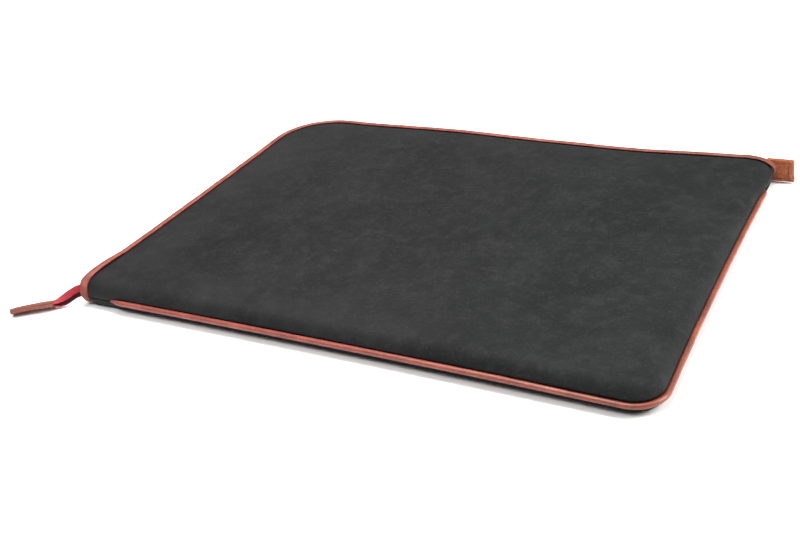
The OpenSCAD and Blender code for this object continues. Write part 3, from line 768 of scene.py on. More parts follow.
def panel_rings(top):
    ds = np.array([1.15, 1.05, 1.15, 1.5, 2.05, 2.7, 3.5, 4.5, 5.7, 7.1, 8.7, 10.6, 12.6])
    dz = np.array([2.1, 2.45, 2.8, 3.15, 3.5, 3.9, 4.5, 5.3, 6.3, 7.5, 9.0, 10.8, 12.6])
    zfun = z_top if top else z_bottom
    roll = 8.6 if top else 6.0
    rings = []
    for k in range(len(ds)):
        ring = []
        for i in range(NV):
            w, pipe = W[i], PIPE[i]
            d0s = ds[k] - (1 - pipe) * 0.6 * (k < 4) * (1 - k / 4)
            e = (EK if top else EKB)[k]
            puff = BULGE[i] * (math.sin(math.pi * min(1, e * 1.05) ** 0.52) if top else 0.15 * math.sin(math.pi * e ** 0.5))
            d = w * dz[k] + (1 - w) * d0s - puff
            p = point(i, d)
            q = point(i, max(d, w * dz[k] + (1 - w) * d0s))
            zt = float(zfun(np.array([q[0]]), np.array([q[1]]))[0])
            if top:
                zs = 7.55 * pipe + 6.55 * (1 - pipe)
                ze = 14.55 + SAGS[i]
            else:
                zs = 5.25 * pipe + 6.15 * (1 - pipe)
                ze = 1.35
            a = zs + (zt - zs) * (1 - (1 - e) ** 2) ** 0.5
            b = ze + (zt - ze) * float(smooth((d - 2.9) / 6.0))
            z = w * b + (1 - w) * a
            ring.append((p[0], p[1], z))
        rings.append(np.array(ring))
    return rings


def solid(ob, thick, offset=-1.0):
    m = ob.modifiers.new("thick", "SOLIDIFY")
    m.thickness = thick * MM
    m.offset = offset
    m.use_even_offset = False
    m.use_quality_normals = True
    return bake(ob)


def set_up(ob, want_up):
    """Makes the open surface's normals point up (or down), so that its thickness goes inwards."""
    up = sum(p.normal.z * p.area for p in ob.data.polygons)
    if (up > 0) != want_up:
        ob.data.flip_normals()
    return ob


def panel(name, top):
    v, f = disc(panel_rings(top), z_top if top else z_bottom)
    ob = make(name, v, f, M_PANEL, uv=v[:, :2] * MM)
    set_up(ob, top)
    return solid(ob, 1.25)


def slab(name, mat, z0, z1, inset_zip, inset_seam, zref):
    """A layer inside a panel, between two heights measured from the panel's outer face."""
    d_edge = W * inset_zip + (1 - W) * inset_seam
    rings = []
    for add in (0.0, 0.35, 1.2, 4.0, 8.0):
        ring = []
        for i in range(NV):
            p = point(i, d_edge[i] + add)
            ring.append((p[0], p[1], 0.0))
        rings.append(np.array(ring))

    def surf(z_off, shrink):
        out = []
        for k, ring in enumerate(rings):
            r = ring.copy()
            r[:, 2] = zref(r[:, 0], r[:, 1]) + z_off - (shrink if k == 0 else 0.0)
            out.append(r)
        return disc(out, lambda x, y: zref(x, y) + z_off)
    t = (z1 - z0)
    va, fa = surf(z1, 0.22 * t)
    vb, fb = surf(z0, -0.22 * t)
    n = len(va)
    faces = list(fa) + [tuple(i + n for i in f[::-1]) for f in fb]
    for i in range(NV):
        j = (i + 1) % NV
        faces.append((i, i + n, j + n, j))
    v = np.concatenate([va, vb])
    return make(name, v, faces, mat, uv=v[:, :2] * MM)


top_leather = panel("top_panel_leather", True)
bottom_leather = panel("bottom_panel_leather", False)
top_foam = slab("top_panel_padding", M_FOAM, -4.35, -1.45, 5.3, 6.4, z_top)
top_lining = slab("top_panel_lining", M_LINING, -5.05, -4.45, 5.3, 6.4, z_top)
bottom_foam = slab("bottom_panel_padding", M_FOAM, 1.35, 4.25, 5.3, 6.4, z_bottom)


def z_lining(x, y):
    """The bottom lining lies a little loose on its foam."""
    e = np.clip(1 - (np.abs(x) / 164) ** 6, 0, 1) * np.clip(1 - (np.abs(y) / 118) ** 6, 0, 1)
    return 0.12 + 0.35 * e * field(-x, y)


bottom_lining = slab("bottom_panel_lining", M_LINING, 4.33, 4.9, 5.3, 6.4, z_lining)

# ------------------------------------------------------------- the piped seam
ZP = 6.4
pipe_ids = [i for i in range(0, NF + NR) if PIPE[i] > 0.001]


def pipe_path(extra=0.0):
    s = np.arange(20.6 - extra, S_BR - 21.0 + extra, 1.6)
    xy = interp(RUN, np.concatenate([BASE, BASE[:1]]), s)
    n = unit(interp(RUN, np.concatenate([OUT, OUT[:1]]), s))
    return s, xy, n


s_p, xy_p, n_p = pipe_path()
e0 = smooth((s_p - s_p[0] + 2.2) / 11.0)
e1 = smooth((s_p[-1] - s_p + 1.5) / 9.0)
env = e0 * e1
wob = np.array([noise.noise(Vector((s * 0.09, 1.7, 0))) for s in s_p])
near_fr = smooth((s_p - 262) / 50) * (1 - smooth((s_p - 352) / 40))
z_p = ZP - 0.45 * near_fr
rad = 1.60 * (0.16 + 0.84 * env ** 0.55) * (1 + 0.025 * wob) * (1 - 0.08 * near_fr)
cen = xy_p - n_p * ((1 - e0) * 1.1 + (1 - e1) * 2.4 + 0.06 * wob)[:, None]
loops = []
ang = np.linspace(0, 2 * math.pi, 20, endpoint=False)
for c, n, r, e, zc in zip(cen, n_p, rad, env, z_p):
    ring = []
    for a in ang:
        x, z = math.cos(a), math.sin(a)
        # the inner side is drawn out into the flange that is sewn between the panels
        if x < -0.2:
            g = (-x - 0.2) / 0.8
            z *= 1 - 0.62 * g
            x -= 1.3 * g * (1 if e > 0.3 else e / 0.3)
        ring.append((c[0] + n[0] * x * r, c[1] + n[1] * x * r, zc + z * r * 0.98))
    loops.append(ring)
v, f = loft(np.array(loops))
uv = np.stack([np.repeat(s_p[:, None], 20, 1), np.repeat((ang * 2)[None], len(s_p), 0)], axis=2).reshape(-1, 2) * MM
piping = make("seam_piping_leather", v, f, M_PIPE, uv=uv)

cord = sweep("piping_core_cord", np.column_stack([cen, z_p])[6:-5], 0.88, M_CORD, sides=10)

# the woven tape that binds the raw seam on the inside: a strip folded over, its fold towards the pocket
def seam_tape():
    ring = np.array([point(i, 7.1) for i in range(NV)])
    ring = np.concatenate([ring, ring[:1]])
    s = np.arange(21.5, S_BR - 20.5, 1.8)
    xy = interp(RUN, ring, s)
    n = unit(interp(RUN, np.concatenate([OUT, OUT[:1]]), s))
    prof = [(0.42, 5.25), (0.30, 5.9), (0.10, 6.6), (-0.06, 7.4), (-0.10, 8.1), (-0.04, 8.9), (0.12, 9.6), (0.32, 10.2), (0.44, 10.7)]
    M = np.zeros((len(s), len(prof), 3))
    for j, (o, z) in enumerate(prof):
        wob_ = np.array([noise.noise(Vector((x * 0.06, z * 0.2, 5.5))) for x in s])
        M[:, j, :2] = xy + n * (o + 0.12 * wob_)[:, None]
        M[:, j, 2] = z + 0.10 * wob_
    return strip("seam_tape_woven", M, 0.55, M_TAPE_PAINTED_SHADE, edge=0.7)


seam_tape_ob = seam_tape()

# ------------------------------------------------- bindings, tape and coil
ZS = np.arange(S_BR - 14.5, PERIM + 8.01, 1.8)         # stations round the zip side


def station(s):
    s = np.asarray(s, float) % PERIM
    xy = interp(RUN, np.concatenate([BASE, BASE[:1]]), s)
    n = unit(interp(RUN, np.concatenate([OUT, OUT[:1]]), s))
    sg = np.interp(s, RUN, np.concatenate([SAGS, SAGS[:1]]))
    return xy, n, sg


# outer edge, width and direction of the lip, width and direction of the outer face, at each end of the top binding
BR_END = np.array([
    # x, y, z,          lip x, y, z,        face x, y, z
    (169.6, 113.6, 6.0, -0.1, -1.0, 0.0, -0.4, 1.0, 0.1),
    (170.7, 114.4, 7.0, -0.1, -1.2, 0.0, -0.5, 1.3, 0.0),
    (171.9, 115.2, 8.3, -0.2, -1.3, 0.0, -0.6, 1.6, -0.2),
    (172.9, 115.8, 9.7, -0.3, -1.3, 0.0, -0.7, 1.9, -0.5),
    (173.6, 116.3, 11.3, -0.4, -1.1, -0.1, -0.7, 2.2, -1.0),
    (173.9, 116.3, 13.3, -0.9, -1.3, 0.0, -0.6, 2.0, -2.0),
    (173.2, 117.5, 14.75, -1.9, -1.7, 0.2, -0.3, 1.0, -3.2),
    (171.2, 120.4, 15.15, -3.0, -2.0, 0.4, -0.1, 0.4, -4.0),
    (168.3, 123.2, 15.2, -2.8, -3.0, 0.4, 0.0, 0.1, -4.3),
    (164.5, 125.3, 15.25, -1.8, -3.6, 0.4, 0.0, 0.0, -4.3),
    (160.3, 126.45, 15.4, -0.7, -3.8, 0.0, 0.0, 0.0, -4.3),
    (155.5, 126.85, 15.62, 0.0, -3.7, 0.0, 0.0, 0.0, -4.3)])
FL_END = np.array([
    (-172.55, -89.5, 15.4, 3.55, 0.0, 0.0, 0.0, 0.0, -4.3),
    (-172.8, -95.5, 15.85, 3.7, 0.0, -0.05, 0.0, 0.0, -4.3),
    (-173.1, -102.0, 16.3, 3.9, 0.0, -0.3, 0.0, 0.0, -4.3),
    (-173.35, -108.5, 16.4, 4.1, 0.0, -0.4, 0.0, 0.0, -4.3),
    (-173.4, -113.5, 16.15, 4.3, 0.0, -0.4, 0.0, 0.0, -4.3),
    (-173.4, -117.7, 15.7, 4.4, 0.5, -0.5, 0.0, 0.2, -3.9),
    (-173.6, -120.9, 14.85, 4.3, 1.2, -0.9, 0.0, 0.6, -3.1),
    (-173.3, -123.3, 13.4, 4.1, 1.3, -1.1, 0.1, 1.1, -2.0),
    (-172.9, -124.8, 11.5, 4.3, 1.2, -0.8, 0.2, 1.4, -0.9),
    (-172.5, -126.0, 9.2, 4.4, 1.3, -0.3, 0.3, 1.5, 0.0),
    (-171.7, -126.55, 6.3, 4.0, 1.35, 0.0, 0.4, 1.4, 0.3),
    (-170.3, -126.1, 4.0, 3.5, 1.0, 0.2, 0.4, 1.1, 0.5),
    (-168.6, -125.2, 2.7, 2.5, 0.6, 0.3, 0.3, 0.8, 0.4)])


def dense(K, n):
    return np.concatenate([curve_through(K[:, 0:3], n), curve_through(K[:, 3:6], n), curve_through(K[:, 6:9], n)], axis=1)


def regular(s, top):
    xy, n, sg = station(s)
    wob = np.array([noise.noise(Vector((x * 0.05, 4.2 if top else 8.8, 0))) for x in s])
    z = 15.42 + sg + 0.12 * wob if top else 0.56 + 0 * sg
    E = np.column_stack([xy + n * (0.05 * wob)[:, None], z])
    lip = np.column_stack([-n * 3.55, np.zeros(len(n))])
    face = np.zeros_like(lip)
    face[:, 2] = -4.3 if top else 4.3
    return np.concatenate([E, lip, face], axis=1)


def s_at(x, y):
    return RUN[int(np.argmin(np.linalg.norm(BASE - np.array([x, y]), axis=1)))]


def binding(name, top):
    """Leather strip folded over a panel's edge; the top one turns down across the seam at both corners."""
    if top:
        mid_s = np.arange(s_at(151.5, HY) + 1.0, s_at(-HX, -87.5), 1.8)
        R = np.concatenate([dense(BR_END, 46), regular(mid_s, True), dense(FL_END, 58)])
    else:
        R = regular(np.arange(S_BR + 1.0, PERIM - 3.0, 1.8), False)
        h = np.clip(np.arange(len(R)) / 4.0, 0, 1)
        R[:, 3:9] *= (0.5 + 0.5 * smooth(h))[:, None]
        g = np.clip(np.arange(len(R))[::-1] / 5.0, 0, 1)
        R[:, 3:9] *= (0.45 + 0.55 * smooth(g))[:, None]
    E = R[:, 0:3]
    lw, fw = np.linalg.norm(R[:, 3:6], axis=1), np.linalg.norm(R[:, 6:9], axis=1)
    lip, face = unit(R[:, 3:6]), unit(R[:, 6:9])
    prof = [(-1.0, -0.10), (-0.85, 0.0), (-0.66, 0.05), (-0.46, 0.06), (-0.30, 0.0), (-0.15, -0.14), (-0.052, -0.42), (-0.006, -0.85),
            (0.006, -1.6), (0.006, -2.5), (0.0, -3.4), (-0.012, -4.3)]
    M = np.zeros((len(E), len(prof), 3))
    for j, (a, b) in enumerate(prof):
        depth = -b * np.where(-b > 0.9, fw / 4.3, np.minimum(1.0, fw / 2.0))
        M[:, j] = E + lip * (-a * lw)[:, None] + face * depth[:, None]
    th = np.full(len(E), 1.08)
    if top:
        th[:46] *= 0.72 + 0.28 * smooth(np.linspace(0, 1, 46) * 1.6)
        th[-58:] *= 1 - 0.25 * smooth(np.linspace(-0.6, 1, 58))
    N3 = unit(-np.cross(np.gradient(E, axis=0), np.array([0, 0, 1.0])))
    return strip(name, M, th, M_TRIM, edge=0.62), E, M, N3, None


top_binding, E_top, M_top, N_bind, T_bind = binding("zip_binding_top", True)
low_binding, E_low, M_low, N_low, _ = binding("zip_binding_bottom", False)


def binding_stitches(name, M, N3):
    """One row of slanted stitches near the binding's lower edge, on its outer face."""
    row = M[:, -3]
    run, at = along(row, 3.7, 2.0)
    c = interp(run, row, at)
    nn = unit(interp(run, np.cross(np.gradient(M, axis=0)[:, -3], np.gradient(M, axis=1)[:, -3]), at))
    n3 = interp(run, N3, at)
    nn = nn * np.sign(np.sum(nn * n3, axis=1, keepdims=True))
    d = unit(interp(run, np.gradient(row, axis=0), at))
    d = unit(d + 0.16 * np.cross(nn, d))
    return capsules(name, c + nn * 0.56, d, nn, 2.7, 0.30, M_THREAD)


st_top = binding_stitches("zip_binding_top_stitching", M_top[34:-32], N_bind[34:-32])
st_low = binding_stitches("zip_binding_bottom_stitching", M_low[3:-6], N_low[3:-6])


def lip_stitches(name, M):
    """The same seam where it comes through on the lip, with an extra run down the turned corner."""
    row = M[:, 1]
    run, at = along(row, 3.4, 1.5)
    c = interp(run, row, at)
    nn = unit(interp(run, np.cross(np.gradient(M, axis=0)[:, 1], np.gradient(M, axis=1)[:, 1]), at))
    nn = nn * np.sign(nn[:, 2:3] * 2 - nn[:, 1:2] + nn[:, 0:1] * 0.1)
    d = unit(interp(run, np.gradient(row, axis=0), at))
    return capsules(name, c + nn * 0.5, unit(d + 0.18 * np.cross(nn, d)), nn, 2.3, 0.26, M_THREAD)


st_lip = lip_stitches("zip_binding_top_corner_stitching", M_top[-34:-3])


def tape(name, lo, hi, s):
    xy, n, sg = station(s)
    M = np.zeros((len(s), 7, 3))
    for j, t in enumerate(np.linspace(0, 1, 7)):
        z = lo + (hi - lo) * t
        d = 1.1 + 0.05 * math.sin(t * 9)
        M[:, j, :2] = xy - n * d
        M[:, j, 2] = z + sg * np.clip((z - 8) / 8, 0, 1)
    return M


# the zip runs straight on past the back right corner into the end tab
def zip_line():
    s = np.arange(S_BR + 12.5, PERIM - 5.0, 1.8)
    xy, n, sg = station(s)
    xe = np.arange(HX + 7.4, HX - 15.2, -1.8)
    ext = np.column_stack([xe, np.full(len(xe), HY)])
    return (np.concatenate([ext, xy]), np.concatenate([np.tile([[0.0, 1.0]], (len(xe), 1)), n]),
            np.concatenate([np.zeros(len(xe)), sg]), len(xe))


ZXY, ZN, ZSAG, ZEXT = zip_line()


def zip_strip(name, lo, hi, mat):
    M = np.zeros((len(ZXY), 7, 3))
    for j, t in enumerate(np.linspace(0, 1, 7)):
        lo_i = np.full(len(ZXY), lo)
        hi_i = np.full(len(ZXY), hi)
        # narrow where the tape crosses the corner, between the two bindings
        ext = 1 - smooth((np.arange(len(ZXY)) - ZEXT + 2) / 4)
        if hi > 9:
            hi_i = hi_i * (1 - ext) + 10.45 * ext
        else:
            lo_i = lo_i * (1 - ext) + 5.55 * ext
        z = lo_i + (hi_i - lo_i) * t
        M[:, j, :2] = ZXY - ZN * 1.1
        M[:, j, 2] = z + ZSAG * np.clip((z - 8) / 8, 0, 1)
    return strip(name, M, 0.56, mat, edge=0.7)


def corner_wall():
    """The folded-in end of the tapes: it closes the corner behind the bindings, between the two panels."""
    s = np.arange(S_BR - 13.0, S_BR + 15.0, 1.2)
    xy, n, sg = station(s)
    M = np.zeros((len(s), 8, 3))
    for j, t in enumerate(np.linspace(0, 1, 8)):
        z0, z1 = 2.2, 13.4
        w = smooth((s - s[0]) / 9.0)
        lo_, hi_ = z0 * w + 5.0 * (1 - w), z1 * w + 8.2 * (1 - w)
        M[:, j, :2] = xy - n * (2.5 + 0.35 * math.sin(t * 7.0))
        M[:, j, 2] = lo_ + (hi_ - lo_) * t
    return strip("zip_tape_corner_fold", M, 0.5, M_TAPE, edge=0.7)


wall_ob = corner_wall()
top_tape = zip_strip("zip_tape_top", 8.32, 13.6, M_TAPE)
low_tape = zip_strip("zip_tape_bottom", 2.5, 7.68, M_TAPE)


def coil(name, z0, z1, shift):
    """Nylon coil on the inner face of the tape: one turn every 1.4 mm, each a loop with a wider head at the meshing edge."""
    P = np.column_stack([ZXY, np.zeros(len(ZXY))])
    run, at = along(P, 1.4, 31.5 + shift, None)
    xy = interp(run, ZXY, at)
    n = unit(interp(run, ZN, at))
    sg = np.interp(at, run, ZSAG)
    t = np.column_stack([-n[:, 1], n[:, 0]])
    verts, faces = [], []
    sides = 6
    a = np.linspace(0, 2 * math.pi, sides, endpoint=False)
    head = z1 if abs(z1 - 8) < abs(z0 - 8) else z0
    for p, nn, tt, g in zip(xy, n, t, sg):
        c = p - nn * 2.15
        zs = np.linspace(z0, z1, 6)
        base = len(verts)
        for z in zs:
            near = 1 - abs(z - head) / (z1 - z0)
            r = 0.40 + 0.16 * max(0.0, near - 0.55) / 0.45
            if z in (zs[0], zs[-1]):
                r *= 0.62
            for q in a:
                verts.append((c[0] + tt[0] * math.cos(q) * r + nn[0] * math.sin(q) * r * 1.45,
                              c[1] + tt[1] * math.cos(q) * r + nn[1] * math.sin(q) * r * 1.45,
                              z + g * np.clip((z - 8) / 8, 0, 1)))
        for k in range(5):
            for j in range(sides):
                faces.append((base + k * sides + j, base + k * sides + (j + 1) % sides,
                              base + (k + 1) * sides + (j + 1) % sides, base + (k + 1) * sides + j))
        faces.append(tuple(base + j for j in range(sides))[::-1])
        faces.append(tuple(base + 5 * sides + j for j in range(sides)))
    return make(name, np.array(verts), faces, M_COIL)


top_coil = coil("zip_coil_top", 8.30, 10.3, 0.0)
low_coil = coil("zip_coil_bottom", 5.7, 7.70, 0.7)

# ------------------------------------------------------------ slider and puller
SX, SZ = HX - 25.5, 8.0
TAPE_O = HY - 0.8


def plate(y0, y1, half_l, half_w, nose, crown=0.0):
    """A slider plate: wide at the mouths (+X), narrower at the tail, with a domed outer face."""
    n = 40
    pts = []
    for k in range(n):
        a = 2 * math.pi * k / n
        c, s = math.cos(a), math.sin(a)
        x = half_l * np.sign(c) * abs(c) ** 0.55
        z = half_w * np.sign(s) * abs(s) ** 0.6
        z *= 1 - nose * smooth((half_l - x) / (2 * half_l))
        if x > half_l * 0.82:
            x -= 0.55 * math.exp(-(z / 1.0) ** 2)       # the notch at the middle of the nose
        pts.append((x, z))
    pts = np.array(pts)
    rings = []
    for y, k in ((y0, 0.90), (y0 + 0.12 * (y1 - y0), 0.985), (y0 + 0.5 * (y1 - y0), 1.0), (y1 - 0.18 * (y1 - y0), 0.98), (y1, 0.90),
                 (y1 + crown * 0.6, 0.66), (y1 + crown, 0.34)):
        rings.append([(SX + x * k, y, SZ + z * k) for x, z in pts])
    return rings


def add(parts, v, f):
    base = sum(len(p[0]) for p in parts)
    parts.append((np.asarray(v, float), [tuple(i + base for i in q) for q in f]))


def joined(name, parts, mat):
    return make(name, np.concatenate([p[0] for p in parts]), [q for p in parts for q in p[1]], mat)


parts = []
add(parts, *loft(np.array(plate(TAPE_O + 0.3, TAPE_O + 1.35, 6.0, 2.45, 0.24, 0.22))))
inner = np.array(plate(0, 0.9, 6.0, 3.55, 0.2, 0.15))
inner[:, :, 1] = (HY - 4.55) + (0.9 - inner[:, :, 1]) * 1.0 + 0.15
add(parts, *loft(inner[:, ::-1]))
# divider between the two tapes
div = []
for y in np.linspace(HY - 4.2, TAPE_O + 0.6, 6):
    div.append([(SX + x, y, SZ + z) for x, z in ((1.9, 0), (2.3, 0.22), (3.6, 0.25), (4.9, 0.22), (5.2, 0), (4.9, -0.22), (3.6, -0.25), (2.3, -0.22))])
add(parts, *loft(np.array(div)))
# crown: the arch that holds the puller
arch = []
for t in np.linspace(0, 1, 15):
    a = math.pi * t
    x = -3.3 * math.cos(a) * (abs(math.cos(a)) ** -0.25 if abs(math.cos(a)) > 0.05 else 1)
    x = max(-3.3, min(3.3, x))
    arch.append((SX + x, TAPE_O + 1.3 + 2.35 * math.sin(a) ** 0.62, SZ))
A = np.array(arch)
tt = unit(np.gradient(A, axis=0))
nn = np.cross(tt, [0, 0, 1.0])
w0 = 0.95 + 0.25 * np.abs(np.linspace(-1, 1, 15)) ** 2
ring = []
for p, n_, w_ in zip(A, nn, w0):
    ring.append([p + n_ * 0.36 * x + np.array([0, 0, 1.0]) * z * w_ for x, z in ((1, 0.72), (0.75, 0.95), (-0.75, 0.95), (-1, 0.72), (-1, -0.72), (-0.75, -0.95), (0.75, -0.95), (1, -0.72))])
add(parts, *loft(np.array(ring)))
slider = joined("zip_slider", parts, M_METAL)

PIN = np.array([SX, TAPE_O + 1.6 + 1.2, SZ])
LINK = 9.0


def rounded_loop(x0, x1, z0, z1, r, n=7):
    pts = []
    for cx, cz, a0 in ((x1 - r, z1 - r, 0), (x0 + r, z1 - r, 90), (x0 + r, z0 + r, 180), (x1 - r, z0 + r, 270)):
        for i in range(n):
            a = math.radians(a0 + 90 * i / (n - 1))
            pts.append((cx + r * math.cos(a), 0, cz + r * math.sin(a)))
    return np.array(pts)


link = sweep("pull_ring", rounded_loop(-LINK, 0, -3.4, 3.4, 1.3) + PIN, 0.62, M_METAL, sides=10, up=(0, 1, 0), closed=True)


def folded_strip(name, origin, length, half_w, lay_off, bend_r, mat, thick, far_round=1.6):
    """A strip folded round a bar at the origin, both layers running in -X and meeting at the far end."""
    path, width = [], []
    far = -length
    for x in np.linspace(far, -bend_r - 2.6, 16):
        path.append((x, lay_off))
    for a in np.linspace(0, 1, 5)[1:]:
        path.append((-bend_r - 2.6 + a * 2.6, lay_off + (bend_r - lay_off) * float(smooth(a))))
    for a in np.linspace(80, -80, 11):
        path.append((bend_r * math.sin(math.radians(90 - a)) - 0, bend_r * math.cos(math.radians(90 - a))))
    for a in np.linspace(1, 0, 5)[:-1]:
        path.append((-bend_r - 2.6 + a * 2.6, -lay_off - (bend_r - lay_off) * float(smooth(a))))
    for x in np.linspace(-bend_r - 2.6, far, 16):
        path.append((x, -lay_off))
    P = np.array(path)
    # the width narrows towards the turn and rounds off at the far end
    cx = P[:, 0]
    hw = np.full(len(P), half_w) * (1 - 0.28 * smooth((cx + 7.0) / 5.0))
    hw = hw * np.where(cx < far + far_round, np.sqrt(np.clip(1 - ((far + far_round - cx) / far_round) ** 2 * 0.55, 0.1, 1)), 1)
    J = 9
    M = np.zeros((len(P), J, 3))
    for j, t in enumerate(np.linspace(-1, 1, J)):
        M[:, j, 0] = P[:, 0]
        M[:, j, 1] = P[:, 1]
        M[:, j, 2] = t * hw
    return strip(name, M + origin, thick, mat, edge=0.72)


tag = folded_strip("pull_tag_leather", PIN + np.array([-LINK, 0, 0]), 27.0, 3.35, 0.72, 1.28, M_TAB, 1.12)


def tag_stitches(name):
    c, d, n = [], [], []
    o = PIN + np.array([-LINK, 0, 0])
    for f in (-1, 1):
        for z in (-2.5, 2.5):
            for x in np.arange(-25.0, -6.0, 2.6):
                c.append(o + np.array([x, f * 1.32, z]))
                d.append((1, 0, 0.12 * f))
                n.append((0, f, 0))
        for z in (-1.4, 1.2):
            c.append(o + np.array([-25.9, f * 1.32, z]))
            d.append((0.1, 0, 1))
            n.append((0, f, 0))
    return capsules(name, c, d, n, 1.9, 0.26, M_THREAD)


tag_st = tag_stitches("pull_tag_leather_stitching")

# ---------------------------------------------------------------- the end tab
TX0, TX1 = HX - 5.3, HX + 11.2
YM = HY - 1.1


def end_tab():
    """A strip of leather folded round the ends of the zip tapes: the fold is at the outer end."""
    path = []
    for x in np.linspace(TX0, TX1 - 1.5, 14):
        path.append((x, 0.86))
    for a in np.linspace(90, -90, 11)[1:-1]:
        path.append((TX1 - 1.5 + 0.9 * math.cos(math.radians(a)), 0.86 * math.sin(math.radians(a))))
    for x in np.linspace(TX1 - 1.5, TX0, 14):
        path.append((x, -0.86))
    P = np.array(path)
    J = 11
    M = np.zeros((len(P), J, 3))
    for j, t in enumerate(np.linspace(-1, 1, J)):
        k = (P[:, 0] - TX0) / (TX1 - TX0)
        M[:, j, 0] = P[:, 0] + 0.35 * k * t * -0.6 + 0.9 * k * (t < 0) * abs(t) * 0.6
        M[:, j, 1] = YM + P[:, 1] + 0.35 * k ** 2 * math.sin(t * 2.2) - 0.7 * k ** 2
        M[:, j, 2] = 7.95 + t * (6.85 - 0.1 * k) + 0.35 * k
    return strip("zip_end_tab_leather", M, 1.1, M_TAB, edge=0.7), M


tab, M_TABG = end_tab()


def tab_stitches():
    c, d, n = [], [], []
    half = 14
    outer, inner_ = M_TABG[:half], M_TABG[-half:][::-1]
    for G, f in ((outer, 1), (inner_, -1)):
        def at(u, v):
            i, j = u * (half - 1), v * (G.shape[1] - 1)
            i0, j0 = min(int(i), half - 2), min(int(j), G.shape[1] - 2)
            a, b = i - i0, j - j0
            return (G[i0, j0] * (1 - a) * (1 - b) + G[i0 + 1, j0] * a * (1 - b) + G[i0, j0 + 1] * (1 - a) * b + G[i0 + 1, j0 + 1] * a * b)
        for v in (0.13, 0.87):
            for u in np.arange(0.20, 0.86, 0.155):
                p, q = at(u, v), at(u + 0.12, v)
                c.append((p + q) / 2 + np.array([0, f * 0.60, 0]))
                d.append(q - p + np.array([0, 0, 0.15]))
                n.append((0, f, 0))
        for v in np.arange(0.17, 0.80, 0.165):
            p, q = at(0.875, v), at(0.875, v + 0.12)
            c.append((p + q) / 2 + np.array([0, f * 0.60, 0]))
            d.append(q - p + np.array([0.15, 0, 0]))
            n.append((0, f, 0))
    return capsules("zip_end_tab_stitching", c, d, n, 1.75, 0.27, M_TABTHREAD)


tab_st = tab_stitches()

# ------------------------------------------------------------ the free tail
# the tape's two layers: the fold along the back, the upper layer's edge and the lower layer's edge
FOLD = [(-171.6, -118.0, 11.6), (-173.2, -121.3, 11.7), (-174.6, -123.1, 11.7), (-176.6, -124.8, 11.3), (-179.3, -126.8, 9.9), (-182.2, -128.8, 8.1),
        (-185.2, -130.8, 6.0), (-188.0, -132.6, 4.2), (-190.1, -133.9, 3.2)]
UPPER = [(-171.4, -119.0, 6.6), (-173.0, -122.6, 7.0), (-174.4, -124.9, 7.9), (-176.4, -126.7, 7.3), (-178.9, -128.9, 5.8), (-181.2, -131.3, 4.6),
         (-183.3, -133.7, 4.1), (-185.4, -136.0, 4.2), (-187.0, -137.3, 4.5)]
LOWER = [(-171.0, -119.2, 4.9), (-172.9, -122.8, 4.9), (-174.5, -125.3, 5.1), (-176.7, -127.6, 4.3), (-179.2, -129.9, 2.8), (-181.5, -132.2, 1.9),
         (-183.6, -134.4, 1.9), (-185.8, -136.4, 2.7), (-187.2, -137.6, 3.3)]
NT = 46
FO, UP_, LO_ = curve_through(FOLD, NT), curve_through(UPPER, NT), curve_through(LOWER, NT)
tu = np.linspace(0, 1, NT)
TD = unit(np.array([-19.9, -13.9, -0.75]))
TSIDE = unit(np.array([-TD[1], TD[0], 0.0])) * 1.0
UPZ = np.array([0, 0, 1.0])
ROLL = math.radians(24)
cols = []
bow = (1.15 * np.sin(np.clip(tu * 1.15, 0, 1) * math.pi) ** 0.7 + 0.15)[:, None]
under = np.array([0.25, 0.35, -0.9])
over = np.array([-0.25, 0.45, 0.85])
mouth = FO * 0.35 + LO_ * 0.65
for t in np.linspace(0, 1, 8):                           # the upper layer, from its edge to the fold
    cols.append(UP_ * (1 - t) + FO * t + over * bow * 0.42 * math.sin(math.pi * min(1, t * 0.9 + 0.05)))
back_turn = np.array([-0.1, 0.75, -0.35])
cols.append(FO + back_turn * (0.35 + 0.25 * bow))
cols.append(FO * 0.93 + LO_ * 0.07 + np.array([0.12, 0.55, -0.75]) * (0.6 + 0.5 * bow))
for t in np.linspace(0.2, 1, 7):                         # the lower layer
    cols.append(FO * (1 - t) + LO_ * t + under * bow * 0.75 * math.sin(math.pi * min(1, t * 0.92)) + np.array([0.2, 0.5, -0.3]) * (1 - t) * 0.9)
tail_tape = strip("zip_tail_tape", np.stack(cols, axis=1), 0.5, M_TAPE, edge=0.7)
# the tape's inner face, inside the fold, gets the tape's darkened copy: painted shade inside the fold
tail_tape.data.materials.append(M_TAPE_PAINTED_SHADE)
ax = (FO * 0.45 + UP_ * 0.25 + LO_ * 0.30)
for q in tail_tape.data.polygons:
    c_ = np.array(q.center) / MM
    a_ = ax[int(np.argmin(np.linalg.norm(ax - c_, axis=1)))]
    v_ = a_ - c_
    if np.dot(np.array(q.normal), v_ / max(1e-6, np.linalg.norm(v_))) > 0.15:
        q.material_index = 1

# coil inside the fold of the tail
c_id = np.arange(12, 37)
path = FO[c_id] * 0.62 + LO_[c_id] * 0.20 + UP_[c_id] * 0.18 + np.array([0.1, 0.2, -0.55])
tail_coil = sweep("zip_tail_coil", path, 0.30 + 0.10 * (np.arange(len(path)) % 2), M_COIL, sides=8)

TIP = np.array([-188.0, -135.1, 3.75])


def tail_frame(u, v, w):
    """A point on the tail's tab: u along it, v across towards the back, w out of its upper face."""
    a = -TSIDE * math.cos(ROLL) - UPZ * math.sin(ROLL)
    b = unit(np.cross(TD, a))
    b = b * np.sign(b[2])
    return TIP + TD * u + a * v + b * w


